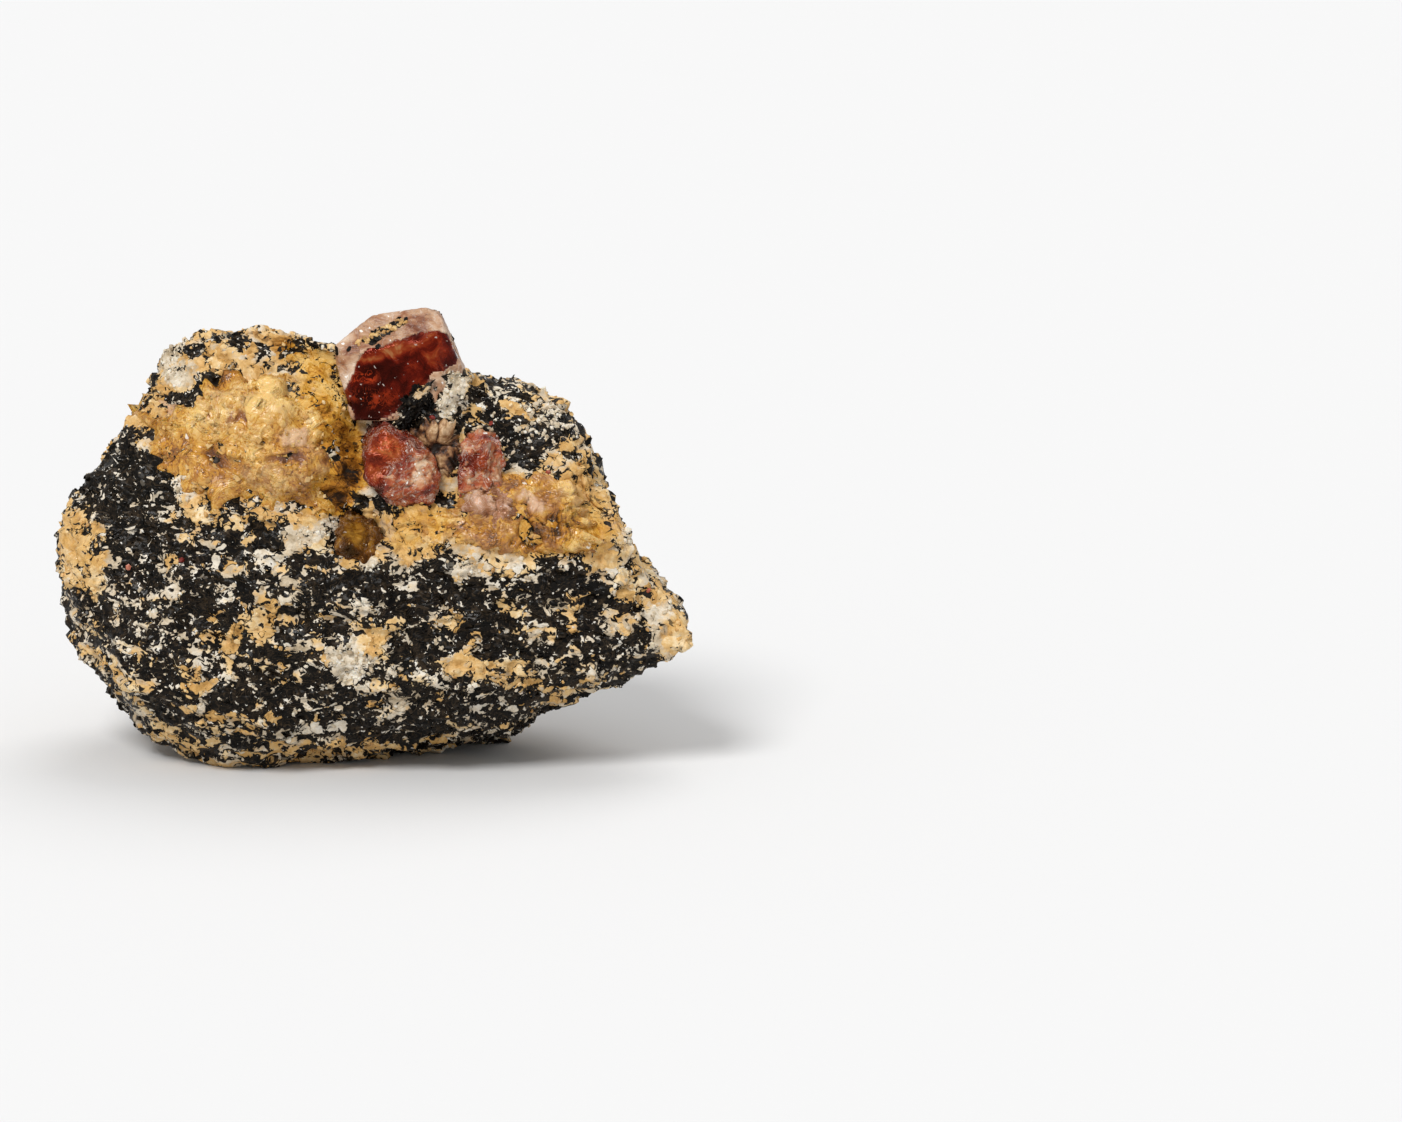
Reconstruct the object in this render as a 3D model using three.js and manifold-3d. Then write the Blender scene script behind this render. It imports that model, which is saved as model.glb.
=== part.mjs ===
// A zircon specimen: red-brown zircon crystals, honey calcite, quartz and pale feldspar grown in a lump of
// biotite gneiss. Millimetres, +Z up, -Y is the front with the largest crystal at the crest.
// The origin is on the surface that the lump rests on, under the middle of the specimen's box.
import * as THREE from "three";
import { ConvexGeometry } from "three/addons/geometries/ConvexGeometry.js";
import { mergeVertices } from "three/addons/utils/BufferGeometryUtils.js";
import Module from "manifold-3d";

const wasm = await Module();
wasm.setup();

// ---- driving dimensions ----------------------------------------------------------------------------
const fit = 0.32; // clearance between a mineral and the pocket that it sits in
const rockCells = 19; // cells along each side of the six patches that cover the lump
const rockCentre = new THREE.Vector3(-1, 0, 20.5);
const wallPower = 5; // how squarely the broad faces turn into the sides
const faceBlend = 1.3; // sharpness of the edges between neighbouring faces, per mm

// The widest line round the lump, from the right tip over the crest: x, depth y, height z.
const rim = [
  [31.2, -12.0, 13.4], [29.2, -11.0, 17.8], [26.2, -11.5, 22.6], [23.0, -12.0, 29.0], [20.2, -8.5, 33.8],
  [17.3, -5.0, 36.6], [12.0, -4.5, 38.2], [6.5, -8.4, 39.8], [0.5, -5.0, 40.4], [-4.0, -7.0, 41.8],
  [-9.5, -5.5, 43.1], [-15.5, -2.5, 42.6], [-19.5, -0.5, 40.3], [-22.8, 1.0, 36.0], [-25.8, 0.0, 31.0],
  [-29.0, -1.5, 26.0], [-31.2, 1.0, 20.0], [-30.0, 1.0, 13.4], [-28.2, 1.0, 7.4], [-22.8, 0.0, 1.4],
  [-15.0, -1.0, -4.0], [-6.0, 0.0, -4.6], [4.0, 0.5, -4.6], [12.0, -2.0, -2.6], [15.5, -5.0, 2.8],
  [21.0, -7.5, 7.0], [27.0, -9.5, 10.2],
];

// Broken faces of the front and the back: a point x, y, z on the face, then its change of depth per mm
// of x and of z.
const frontFaces = [
  [0, -15.6, 14, -0.02, -0.02], [-13, -10.8, 0, 0.04, -0.75], [0, -13.9, 23, -0.06, 0.36],
  [-24, -14.5, 20, -0.55, 0.1], [22, -14.6, 18, 0.22, 0.14], [-16, -12, 36, -0.05, 0.62],
  [18, -10.8, 33, 0.02, 0.52],
];
const backFaces = [
  [0, 15.2, 18, 0, -0.05], [5, 10.2, 0, 0, 0.55], [0, 13.2, 30, 0, -0.75], [18, 12.5, 18, -0.62, -0.1],
  [-22, 13, 16, 0.55, 0], [-14, 12, 33, 0.2, -0.5],
];

// Swellings and hollows: x, z, half-widths along x and z, height outwards, turn in degrees.
const frontLumps = [
  [-15, 5, 7, 5, 1.8, 0], [-10, 34, 4.2, 3.6, 1.6, 0], [-19, 37, 4, 3, 1, 0], [-24, 26, 5, 6, -1, 0],
  [-1.5, 24.5, 2.6, 3, -2.6, 0], [-5, 28, 3.5, 1.6, -1.6, 10], [4.5, 32, 5, 3.6, -1.0, 0],
  [18, 25, 7, 4, 0.9, -10], [6.2, 36.6, 3, 3.4, 3.2, 0], [-2, 32.6, 1.3, 2.6, -1.3, 0],
  [23, 29, 1.4, 5, -1.4, 25], [8, 10, 9, 4, 0.9, -10], [26, 11, 5, 5, 1.2, 0], [-22, 13, 4, 4, 0.9, 0],
  [-5, 16, 8, 2.2, -0.9, -6], [12, 18, 10, 1.8, -1, -8],
];
const backLumps = [
  [9, 13, 13, 2.6, -3.2, 16], [7, 4, 4.5, 6, 2.4, 0], [-27, 13, 3.6, 3.4, 2, 0], [-14, 34, 5, 4, 0.9, 0],
  [-6.5, 30, 4, 4.5, -1.8, 0], [5, 36, 6, 5, -1.5, 0], [-18, 9, 6, 3, -1.6, -12], [16, 25, 6, 5, 1.2, 0],
  [-26, 22, 4, 5, 1.2, 0], [22, 14, 4, 4, 1, 0], [-4, 17, 6, 4, 1, 0],
];

// Knobs that stand out of the skin: centre x, y, z, radius, height outwards.
const knobs = [
  [-9.6, -10.5, 35.4, 2.6, 1.3], [-4.6, -9, 37, 2, 0.9], [-28, -4, 20, 3, 1.2],
];

// Flat chips off the corners: compass angle from +X, angle above the horizon, distance from the centre.
const chips = [
  [-150, 20, 27.2], [-35, 35, 25.5], [160, 35, 27], [205, -28, 28], [35, 38, 24], [70, 55, 23.2],
  [-120, 50, 24.6], [20, -35, 27], [-118, -30, 25], [124, -45, 22.5], [138, -76, 20.9], [-68, -65, 20.6],
];

// Waves of relief: wavelength, seed, height, and whether the wave is folded into sharp crests.
const relief = [
  [15, 3, 0.38, false], [11, 11, -0.7, true], [5.5, 23, 0.32, false], [4.2, 37, -0.3, true],
];
const foldedLift = 0.56; // mean height of a folded wave, taken off so that relief neither swells nor shrinks

const spread = { golden: 0.618034, goldenTurn: 2.399963, plastic: 0.7548 }; // even spacings for the waves
const weld = 1e-3; // points closer than this are one
const parallel = 1e-6; // three faces with a smaller determinant meet in no corner
const onFace = 1e-4; // how far outside a face a corner may lie

const grainWave = { alongX: 6.2, alongZ: 5.4, height: 0.085 }; // waves on a grain of radius 1

// ---- shape of the lump -----------------------------------------------------------------------------
const radians = THREE.MathUtils.degToRad;
const rimCurve = new THREE.CatmullRomCurve3(rim.map((p) => new THREE.Vector3(...p)), true, "catmullrom", 0.5);

// Depth fraction of the side wall where the widest line is reduced to the fraction reach.
const wallDepth = (reach) => Math.sqrt(Math.max(0, 1 - reach ** wallPower));

// The profile from the widest line to the middle of a broad face, walked at even steps of its length.
const profile = (() => {
  const steps = 400;
  const halfWidth = 25;
  const halfDepth = 15;
  const walked = [0];
  for (let i = 1; i <= steps; i++) {
    const along = halfWidth / steps;
    const across = (wallDepth(1 - i / steps) - wallDepth(1 - (i - 1) / steps)) * halfDepth;
    walked.push(walked[i - 1] + Math.hypot(along, across));
  }
  return walked.map((length) => length / walked[steps]);
})();

function reachAt(share) {
  let i = 1;
  while (i < profile.length - 1 && profile[i] < share) i++;
  const part = (share - profile[i - 1]) / (profile[i] - profile[i - 1]);
  return 1 - (i - 1 + THREE.MathUtils.clamp(part, 0, 1)) / (profile.length - 1);
}

// Depth of the front (side -1) or the back (side 1): the innermost of its faces, with blended edges, and
// its lumps.
function sheetDepth(x, z, side) {
  const faces = side < 0 ? frontFaces : backFaces;
  const lumps = side < 0 ? frontLumps : backLumps;
  let sum = 0;
  for (const [x0, y0, z0, perX, perZ] of faces) {
    sum += Math.exp(-side * faceBlend * (y0 + perX * (x - x0) + perZ * (z - z0)));
  }
  let depth = (-side * Math.log(sum)) / faceBlend;
  for (const [x0, z0, halfX, halfZ, height, turn] of lumps) {
    const c = Math.cos(radians(turn));
    const s = Math.sin(radians(turn));
    const a = ((x - x0) * c + (z - z0) * s) / halfX;
    const b = ((z - z0) * c - (x - x0) * s) / halfZ;
    depth += side * height * Math.exp(-a * a - b * b);
  }
  return depth;
}

// A sum of six sine waves that run in directions spread evenly over the sphere.
function roll(p, wavelength, seed) {
  const waves = 6;
  let sum = 0;
  for (let k = 0; k < waves; k++) {
    const s = seed + k;
    const up = 1 - 2 * ((s * spread.golden + 0.5 / waves) % 1);
    const level = Math.sqrt(1 - up * up);
    const turn = spread.goldenTurn * s;
    const wave = wavelength * (0.8 + 0.4 * ((s * spread.plastic) % 1));
    const along = p.x * level * Math.cos(turn) + p.y * level * Math.sin(turn) + p.z * up;
    sum += Math.sin((along * 2 * Math.PI) / wave + 1.7 * s);
  }
  return sum / Math.sqrt(waves);
}

function roughness(p) {
  let height = 0;
  for (const [wavelength, seed, size, folded] of relief) {
    const wave = roll(p, wavelength, seed);
    height += folded ? size * (Math.abs(wave) - foldedLift) : size * wave;
  }
  return height;
}

// The point of the lump's skin that lies in a direction from its middle.
function skin(direction) {
  const turn = Math.atan2(direction.z, direction.x) / (2 * Math.PI);
  const tilt = Math.asin(THREE.MathUtils.clamp(direction.y, -1, 1)) / (Math.PI / 2);
  const edge = rimCurve.getPoint((turn + 1) % 1);
  const reach = reachAt(Math.abs(tilt));
  const p = new THREE.Vector3(
    rockCentre.x + reach * (edge.x - rockCentre.x),
    0,
    rockCentre.z + reach * (edge.z - rockCentre.z),
  );
  const middle = edge.y * reach * reach;
  p.y = middle + wallDepth(reach) * (sheetDepth(p.x, p.z, tilt < 0 ? -1 : 1) - middle);
  for (const [compass, height, distance] of chips) {
    const out = new THREE.Vector3(
      Math.cos(radians(height)) * Math.cos(radians(compass)),
      Math.cos(radians(height)) * Math.sin(radians(compass)),
      Math.sin(radians(height)),
    );
    const from = p.clone().sub(rockCentre);
    p.copy(rockCentre).addScaledVector(from, 1 / Math.max(1, from.dot(out) / distance));
  }
  const outwards = p.clone().sub(rockCentre).normalize();
  let swelling = roughness(p);
  for (const [x, y, z, radius, height] of knobs) {
    swelling += height * Math.exp(-p.distanceToSquared(new THREE.Vector3(x, y, z)) / radius ** 2);
  }
  p.addScaledVector(outwards, swelling);
  p.z = Math.max(p.z, 0);
  return p;
}

// Six square patches that wrap the lump like the sides of a box.
function lumpGeometry(cells) {
  const sides = [
    (a, b) => [a, -1, b], (a, b) => [-a, 1, b], (a, b) => [1, a, b],
    (a, b) => [-1, -a, b], (a, b) => [a, b, 1], (a, b) => [a, -b, -1],
  ];
  const positions = [];
  const spreadAt = (i) => Math.tan(((2 * i) / cells - 1) * (Math.PI / 4));
  for (const side of sides) {
    const at = (i, j) => skin(new THREE.Vector3(...side(spreadAt(i), spreadAt(j))).normalize()).toArray();
    for (let i = 0; i < cells; i++) {
      for (let j = 0; j < cells; j++) {
        const [a, b, c, d] = [at(i, j), at(i + 1, j), at(i + 1, j + 1), at(i, j + 1)];
        positions.push(...a, ...b, ...c, ...a, ...c, ...d);
      }
    }
  }
  return new THREE.BufferGeometry().setAttribute("position", new THREE.Float32BufferAttribute(positions, 3));
}

// ---- solids ----------------------------------------------------------------------------------------
function solidOf(geometry) {
  const bare = geometry.index ? geometry.toNonIndexed() : geometry.clone();
  const open = new THREE.BufferGeometry().setAttribute("position", bare.getAttribute("position"));
  const merged = mergeVertices(open, weld);
  return new wasm.Manifold(new wasm.Mesh({
    numProp: 3,
    vertProperties: merged.attributes.position.array,
    triVerts: new Uint32Array(merged.index.array),
  }));
}

// The largest body of a solid, so that no loose crumb is left by a cut.
function largest(solid) {
  return solid.decompose().sort((a, b) => b.volume() - a.volume())[0];
}

// A crystal from its faces, each given by its outward direction and a point on it: its corners are where
// three faces meet and no other face cuts them off. Growing it moves every face outwards.
function crystalGeometry(faces, grow = 0) {
  const planes = faces.map(([out, at]) => {
    const normal = new THREE.Vector3(...out).normalize();
    return new THREE.Plane(normal, -(normal.dot(new THREE.Vector3(...at)) + grow));
  });
  const corners = [];
  for (let i = 0; i < planes.length; i++) {
    for (let j = i + 1; j < planes.length; j++) {
      for (let k = j + 1; k < planes.length; k++) {
        const [a, b, c] = [planes[i], planes[j], planes[k]];
        const bc = b.normal.clone().cross(c.normal);
        const det = a.normal.dot(bc);
        if (Math.abs(det) < parallel) continue;
        const point = bc.multiplyScalar(-a.constant)
          .addScaledVector(c.normal.clone().cross(a.normal), -b.constant)
          .addScaledVector(a.normal.clone().cross(b.normal), -c.constant)
          .divideScalar(det);
        if (planes.every((plane) => plane.distanceToPoint(point) < onFace)) corners.push(point);
      }
    }
  }
  return new ConvexGeometry(corners);
}

// A rounded body with two gentle waves on it, which marks out a grain within the lump.
function grainGeometry({ centre, half, turn }, grow = 0) {
  const [across, round] = [18, 10];
  const ball = new THREE.SphereGeometry(1, across, round);
  const place = ball.getAttribute("position");
  const p = new THREE.Vector3();
  for (let i = 0; i < place.count; i++) {
    p.fromBufferAttribute(place, i);
    const waves = Math.sin(grainWave.alongX * p.x + centre[0]) + Math.sin(grainWave.alongZ * p.z + centre[2]);
    p.multiplyScalar(1 + grainWave.height * waves);
    place.setXYZ(i, p.x * (half[0] + grow), p.y * (half[1] + grow), p.z * (half[2] + grow));
  }
  return ball.rotateY(-radians(turn)).translate(...centre);
}

// ---- minerals --------------------------------------------------------------------------------------
// Each crystal face is its outward direction and a point on it.
const crystals = {
  // The large crystal at the crest: a stout prism laid front to back, its worn pyramid at the top.
  zircon_main: [
    [[-0.05, -0.965, 0.26], [2.3, -8.4, 39.6]], // glossy front
    [[-0.15, -0.59, 0.79], [3, -5.4, 44.4]], // frosted bevel above it
    [[-0.13, 0.38, 0.92], [3.4, -3.6, 45.2]], // striated crown
    [[0.05, 0.84, 0.54], [4, 9.3, 36.3]], // back
    [[-0.66, 0.3, 0.69], [-2.3, -5, 43.1]],
    [[-0.93, 0.16, -0.33], [-3.3, -6, 40]],
    [[-0.74, -0.66, 0.05], [-3.0, -7.4, 40]],
    [[0.92, 0.06, 0.384], [7.9, -6, 42.4]],
    [[0.62, -0.76, 0.2], [7.4, -7.6, 40]],
    [[0.42, 0.1, 0.9], [7.4, -3.5, 44.6]],
    [[0, -0.215, -0.977], [1, -9.2, 35.3]],
    [[0.3, 0.1, -0.95], [6, 11, 33.2]],
    [[0.82, 0.15, -0.55], [11.4, 8, 36.6]],
    [[-0.75, 0.4, -0.52], [-1.6, 4, 41.5]],
    [[-0.5, 0.85, 0.3], [-1.0, 6.0, 39.5]],
  ],
  // An etched, rounded crystal in the front, longer from its upper left to its lower right.
  zircon_front: [
    [[0, -0.98, 0.2], [2.7, -13.4, 31]],
    [[-0.45, -0.8, 0.4], [0.7, -12.9, 32.6]],
    [[0.5, -0.82, 0.1], [5.0, -12.9, 30.6]],
    [[0.1, -0.8, -0.6], [3.5, -12.9, 28.4]],
    [[-0.97, -0.1, 0.22], [-0.6, -11, 32]],
    [[-0.6, -0.1, 0.8], [0.2, -11, 34.6]],
    [[0.5, -0.1, 0.86], [2.0, -11, 34.9]],
    [[0.88, -0.1, 0.46], [5.6, -11, 32.4]],
    [[0.95, -0.1, -0.3], [6.6, -11, 29.6]],
    [[0.3, -0.1, -0.95], [4.4, -11, 27.0]],
    [[-0.72, -0.1, -0.7], [0.6, -11, 28.8]],
    [[0, 0.97, -0.25], [3, -6, 31]],
  ],
  // A narrow broken prism to the right of it.
  zircon_right: [
    [[-0.2, -0.97, 0.15], [10.8, -12.3, 31]],
    [[0.75, -0.65, 0.1], [12.0, -11.8, 31]],
    [[-0.98, -0.1, 0.1], [9.0, -11, 31]],
    [[0.97, 0.05, -0.1], [12.7, -11, 31]],
    [[-0.15, -0.3, 0.94], [10.4, -11, 33.8]],
    [[0.5, -0.2, 0.85], [11.8, -11, 33.4]],
    [[-0.3, -0.35, -0.9], [10.4, -11.4, 28.4]],
    [[0, 0.95, -0.3], [11, -6.5, 31]],
  ],
  // A rounded three-sided crystal in the back, under the quartz.
  zircon_back: [
    [[0.1, 0.97, -0.22], [-6.4, 14.2, 27.6]],
    [[-0.5, 0.84, 0.2], [-8.6, 13.8, 28.4]],
    [[0.45, 0.85, 0.3], [-4.2, 13.8, 28.8]],
    [[-0.1, 0.5, 0.86], [-6.4, 12.9, 30.6]],
    [[0.5, 0.1, 0.86], [-3.4, 12, 30.2]],
    [[0.92, 0.1, -0.38], [-2.5, 12, 28.8]],
    [[0.62, 0.1, -0.78], [-4.6, 12, 25.8]],
    [[-0.3, 0.15, -0.94], [-7.4, 12, 24.9]],
    [[-0.86, 0.1, -0.5], [-9.6, 12, 26.6]],
    [[-0.92, 0.1, 0.38], [-10.1, 12, 28.8]],
    [[0, -0.97, 0.2], [-6.4, 6.5, 27.6]],
  ],
  // Clear smoky quartz over it.
  quartz_back: [
    [[0.1, 0.9, 0.4], [-7.2, 12.8, 32.6]],
    [[-0.55, 0.8, 0.25], [-9.6, 12.2, 32.4]],
    [[0.5, 0.78, 0.35], [-5.0, 12.2, 32.6]],
    [[-0.05, 0.2, 0.98], [-7.0, 10.6, 34.2]],
    [[0.7, 0.1, 0.7], [-4.2, 10.6, 33.6]],
    [[0.9, 0.1, -0.4], [-3.6, 10.6, 32.2]],
    [[0.45, 0.1, -0.88], [-5.2, 10.6, 30.6]],
    [[-0.98, 0.1, 0.1], [-10.9, 10.6, 32]],
    [[0, 0.1, -0.99], [-7.4, 10.6, 29.4]],
    [[0, -0.97, 0.2], [-7.2, 5.5, 32.6]],
  ],
  // Deep amber calcite in the hollow of the front.
  calcite_amber: [
    [[-0.1, -0.97, 0.2], [-1.4, -13.8, 24]],
    [[0.6, -0.78, 0.1], [-0.2, -13.5, 24]],
    [[-0.7, -0.7, 0.1], [-2.7, -13.4, 24]],
    [[-0.97, 0, 0.2], [-3.3, -12.5, 24]],
    [[0.97, 0, -0.2], [0.5, -12.5, 24]],
    [[0.25, -0.2, 0.94], [-1.2, -12.5, 25.6]],
    [[-0.3, -0.2, -0.93], [-1.6, -12.5, 21.8]],
    [[0, 0.97, 0.1], [-1.4, -9, 24]],
  ],
};

// Grains and masses level with the skin: centre, half-widths, turn in degrees as seen from the front.
const grains = {
  calcite_yellow: { centre: [-12.4, -9.8, 33.2], half: [10, 4.4, 7], turn: -14 },
  calcite_honey: { centre: [15.6, -13.2, 26.0], half: [8.4, 3.6, 4.2], turn: -8 },
  feldspar_back: { centre: [-14.4, 9.4, 36.2], half: [4.6, 3.6, 4.2], turn: 0 },
  feldspar_knob: { centre: [-26.2, 8.4, 13.6], half: [3.2, 3.8, 3.8], turn: 10 },
};

// Colour and roughness of each piece; calcite and feldspar are duller than the crystals.
const looks = {
  matrix_rock: { color: 0x5d564c, roughness: 0.8 },
  zircon_main: { color: 0x7a1d10, roughness: 0.15 },
  zircon_front: { color: 0xa23a22, roughness: 0.3 },
  zircon_right: { color: 0xa8604a, roughness: 0.3 },
  zircon_back: { color: 0x8a2412, roughness: 0.15 },
  quartz_back: { color: 0xb9aa9c, roughness: 0.12 },
  calcite_amber: { color: 0xa8640c, roughness: 0.2 },
  calcite_yellow: { color: 0xd9a441, roughness: 0.45 },
  calcite_honey: { color: 0xbf8a48, roughness: 0.35 },
  feldspar_back: { color: 0xdcd0c2, roughness: 0.6 },
  feldspar_knob: { color: 0xd8c3a2, roughness: 0.6 },
};

function meshOf(name, solid) {
  const { vertProperties, triVerts, numProp } = solid.getMesh();
  const geometry = new THREE.BufferGeometry();
  const positions = new Float32Array((vertProperties.length / numProp) * 3);
  for (let i = 0; i < positions.length / 3; i++) {
    positions.set(vertProperties.subarray(i * numProp, i * numProp + 3), i * 3);
  }
  geometry.setAttribute("position", new THREE.BufferAttribute(positions, 3));
  geometry.setIndex(new THREE.BufferAttribute(triVerts, 1));
  geometry.computeVertexNormals();
  const mesh = new THREE.Mesh(geometry, new THREE.MeshStandardMaterial({ metalness: 0, ...looks[name] }));
  mesh.name = name;
  return mesh;
}

// ---- assembly --------------------------------------------------------------------------------------
const lump = solidOf(lumpGeometry(rockCells));
const solids = {};
let pockets = null; // everything that has been cut from the rock so far
const addPocket = (solid) => {
  pockets = pockets ? pockets.add(solid) : solid;
};

for (const [name, faces] of Object.entries(crystals)) {
  let body = solidOf(crystalGeometry(faces));
  if (pockets) body = largest(body.subtract(pockets));
  solids[name] = body;
  addPocket(solidOf(crystalGeometry(faces, fit)));
}
for (const [name, grain] of Object.entries(grains)) {
  solids[name] = largest(lump.intersect(solidOf(grainGeometry(grain))).subtract(pockets));
  addPocket(solidOf(grainGeometry(grain, fit)));
}
solids.matrix_rock = largest(lump.subtract(pockets));

const specimen = new THREE.Group();
for (const [name, solid] of Object.entries(solids)) {
  specimen.add(meshOf(name, solid));
}

// The origin moves to the resting plane under the middle of the specimen's box.
const box = new THREE.Box3().setFromObject(specimen);
specimen.position.set(-(box.min.x + box.max.x) / 2, -(box.min.y + box.max.y) / 2, -box.min.z);

export default specimen;
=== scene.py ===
import math

import bpy
import numpy as np
from mathutils import Matrix, Vector


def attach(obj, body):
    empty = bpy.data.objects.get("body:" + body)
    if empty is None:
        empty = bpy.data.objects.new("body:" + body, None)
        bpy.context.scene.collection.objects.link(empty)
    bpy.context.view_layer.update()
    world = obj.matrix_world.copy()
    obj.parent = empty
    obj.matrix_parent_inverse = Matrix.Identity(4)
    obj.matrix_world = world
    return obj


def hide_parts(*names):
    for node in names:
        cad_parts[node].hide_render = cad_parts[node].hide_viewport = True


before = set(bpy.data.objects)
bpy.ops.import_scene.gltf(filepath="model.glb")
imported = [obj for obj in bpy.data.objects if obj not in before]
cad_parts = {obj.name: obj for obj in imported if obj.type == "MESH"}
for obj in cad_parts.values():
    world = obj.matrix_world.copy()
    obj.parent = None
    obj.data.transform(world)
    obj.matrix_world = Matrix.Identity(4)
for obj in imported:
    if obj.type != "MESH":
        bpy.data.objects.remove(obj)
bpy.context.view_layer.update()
mm = 0.001

# ---- number tools
tableRows = 4096
foldNumbers = (73856093, 19349663, 83492791, 15485863, 1274126177)
table = np.random.default_rng(5)
slopes = table.normal(size=(tableRows, 3))
slopes /= np.linalg.norm(slopes, axis=1)[:, None]
places = table.uniform(0.06, 0.94, (tableRows, 3))
lots = table.random(tableRows)


def rowOf(cell, seed):
    # A table row for each lattice cell: its three numbers and the seed times large numbers, folded together.
    a, b, c, d, last = foldNumbers
    mixed = cell[..., 0] * a ^ cell[..., 1] * b ^ cell[..., 2] * c ^ (seed * d)
    mixed = (mixed ^ (mixed >> 13)) * last
    return (mixed ^ (mixed >> 16)) & (tableRows - 1)


def smoothNoise(points, wavelength, seed):
    # Slope noise: each lattice corner has a random slope, blended by 6t^5 - 15t^4 + 10t^3; runs about -1 to 1.
    q = points / wavelength
    cell = np.floor(q).astype(np.int64)
    part = q - cell
    fade = part**3 * (part * (part * 6 - 15) + 10)
    total = np.zeros(len(q))
    for corner in np.ndindex(2, 2, 2):
        corner = np.array(corner)
        slope = slopes[rowOf(cell + corner, seed)]
        weight = np.prod(np.where(corner, fade, 1 - fade), axis=1)
        total += weight * np.einsum("ij,ij->i", slope, part - corner)
    return total * 1.6


def layered(points, wavelength, seed, layers=3, fall=0.55):
    # Noise plus finer noise: each layer has half the wavelength and fall times the height of the one before.
    return sum(fall**k * smoothNoise(points, wavelength / 2**k, seed + 31 * k) for k in range(layers))


def grainCells(points, size, seed):
    # Grains grown from one seed point to a cell: distance to the nearest, the nearest's lot, and the height of a
    # plane through its seed that slopes its own random way, so that each grain ends in a flat broken face.
    q = points / size
    cell = np.floor(q).astype(np.int64)
    near = np.full(len(q), 9.0)
    lot, plane = np.zeros(len(q)), np.zeros(len(q))
    for step in np.ndindex(3, 3, 3):
        there = cell + (np.array(step) - 1)
        row = rowOf(there, seed)
        offset = q - there - places[row]
        away = np.linalg.norm(offset, axis=1)
        closer = away < near
        lot = np.where(closer, lots[row], lot)
        plane = np.where(closer, np.einsum("ij,ij->i", offset, slopes[row]), plane)
        near = np.where(closer, away, near)
    return near * size, lot, plane * size


def easeStep(value, low, high):
    # 0 below low, 1 above high, and 3t^2 - 2t^3 between them.
    t = np.clip((value - low) / (high - low), 0, 1)
    return t * t * (3 - 2 * t)


def unit(v):
    # Each row divided by its length.
    return v / np.linalg.norm(v, axis=-1, keepdims=True)


def shakes(points, wavelength, seed, fall=0.6):
    # Three layered noises beside each other, one each for x, y and z.
    return np.stack([layered(points, wavelength, seed + k, 3, fall) for k in range(3)], 1)


def turned(x, z, degrees):
    # x and z turned round their origin, x towards z.
    c, s = math.cos(math.radians(degrees)), math.sin(math.radians(degrees))
    return x * c - z * s, x * s + z * c


def compassWay(compass, height):
    # The direction at an angle from +X round the vertical and an angle above the horizon, both in degrees.
    compass, height = math.radians(compass), math.radians(height)
    level = math.cos(height)
    return np.array([level * math.cos(compass), level * math.sin(compass), math.sin(height)])


# ---- mesh tools
def putMesh(name, points, faces, smooth=True, values=None):
    # An object at the origin from points in millimetres and faces of three or four corners, with values per point.
    faces = np.asarray(faces, dtype=np.int32)
    mesh = bpy.data.meshes.new(name)
    mesh.vertices.add(len(points))
    mesh.vertices.foreach_set("co", (points * mm).astype(np.float32).ravel())
    mesh.loops.add(faces.size)
    mesh.loops.foreach_set("vertex_index", faces.ravel())
    mesh.polygons.add(len(faces))
    mesh.polygons.foreach_set("loop_start", np.arange(0, faces.size, faces.shape[1], dtype=np.int32))
    mesh.update(calc_edges=True)
    mesh.polygons.foreach_set("use_smooth", np.full(len(faces), smooth))
    for key, value in (values or {}).items():
        mesh.attributes.new(key, "FLOAT", "POINT").data.foreach_set("value", value.astype(np.float32))
    thing = bpy.data.objects.new(name, mesh)
    bpy.context.scene.collection.objects.link(thing)
    return thing


def dress(thing, material, node):
    # The piece's material, its body, and the CAD node that it stands in for where it has one.
    thing.data.materials.append(material)
    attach(thing, "root")
    if node:
        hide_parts(node)


def boxSphere(cells):
    # Directions on six square patches that wrap a ball like the sides of a box, shared along their edges.
    spread = np.tan((2 * np.arange(cells + 1) / cells - 1) * np.pi / 4)
    a, b = np.meshgrid(spread, spread, indexing="ij")
    one = np.ones_like(a)
    sides = [(a, -one, b), (-a, one, b), (one, a, b), (-one, -a, b), (a, b, one), (a, -b, -one)]
    points = np.concatenate([np.stack(side, -1).reshape(-1, 3) for side in sides])
    i, j = np.meshgrid(np.arange(cells), np.arange(cells), indexing="ij")
    first = (i * (cells + 1) + j).ravel()
    patch = np.stack([first, first + cells + 1, first + cells + 2, first + 1], 1)
    faces = np.concatenate([patch + k * (cells + 1) ** 2 for k in range(6)])
    key = np.round(points * 1e6).astype(np.int64)
    kept, inverse = np.unique(key, axis=0, return_index=True, return_inverse=True)[1:]
    return unit(points[kept]), inverse.ravel()[faces]


def cornerNormals(points, faces):
    # Outward direction at each point: the sum of its faces' cross products.
    a, b = points[faces[:, 2]] - points[faces[:, 0]], points[faces[:, -1]] - points[faces[:, 1]]
    across = np.cross(a, b)
    total = np.zeros_like(points)
    for k in range(faces.shape[1]):
        np.add.at(total, faces[:, k], across)
    return unit(total + 1e-12)


def triangled(faces):
    # Each four-cornered face cut into two along its first diagonal.
    return np.concatenate([faces[:, [0, 1, 2]], faces[:, [0, 2, 3]]])


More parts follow.
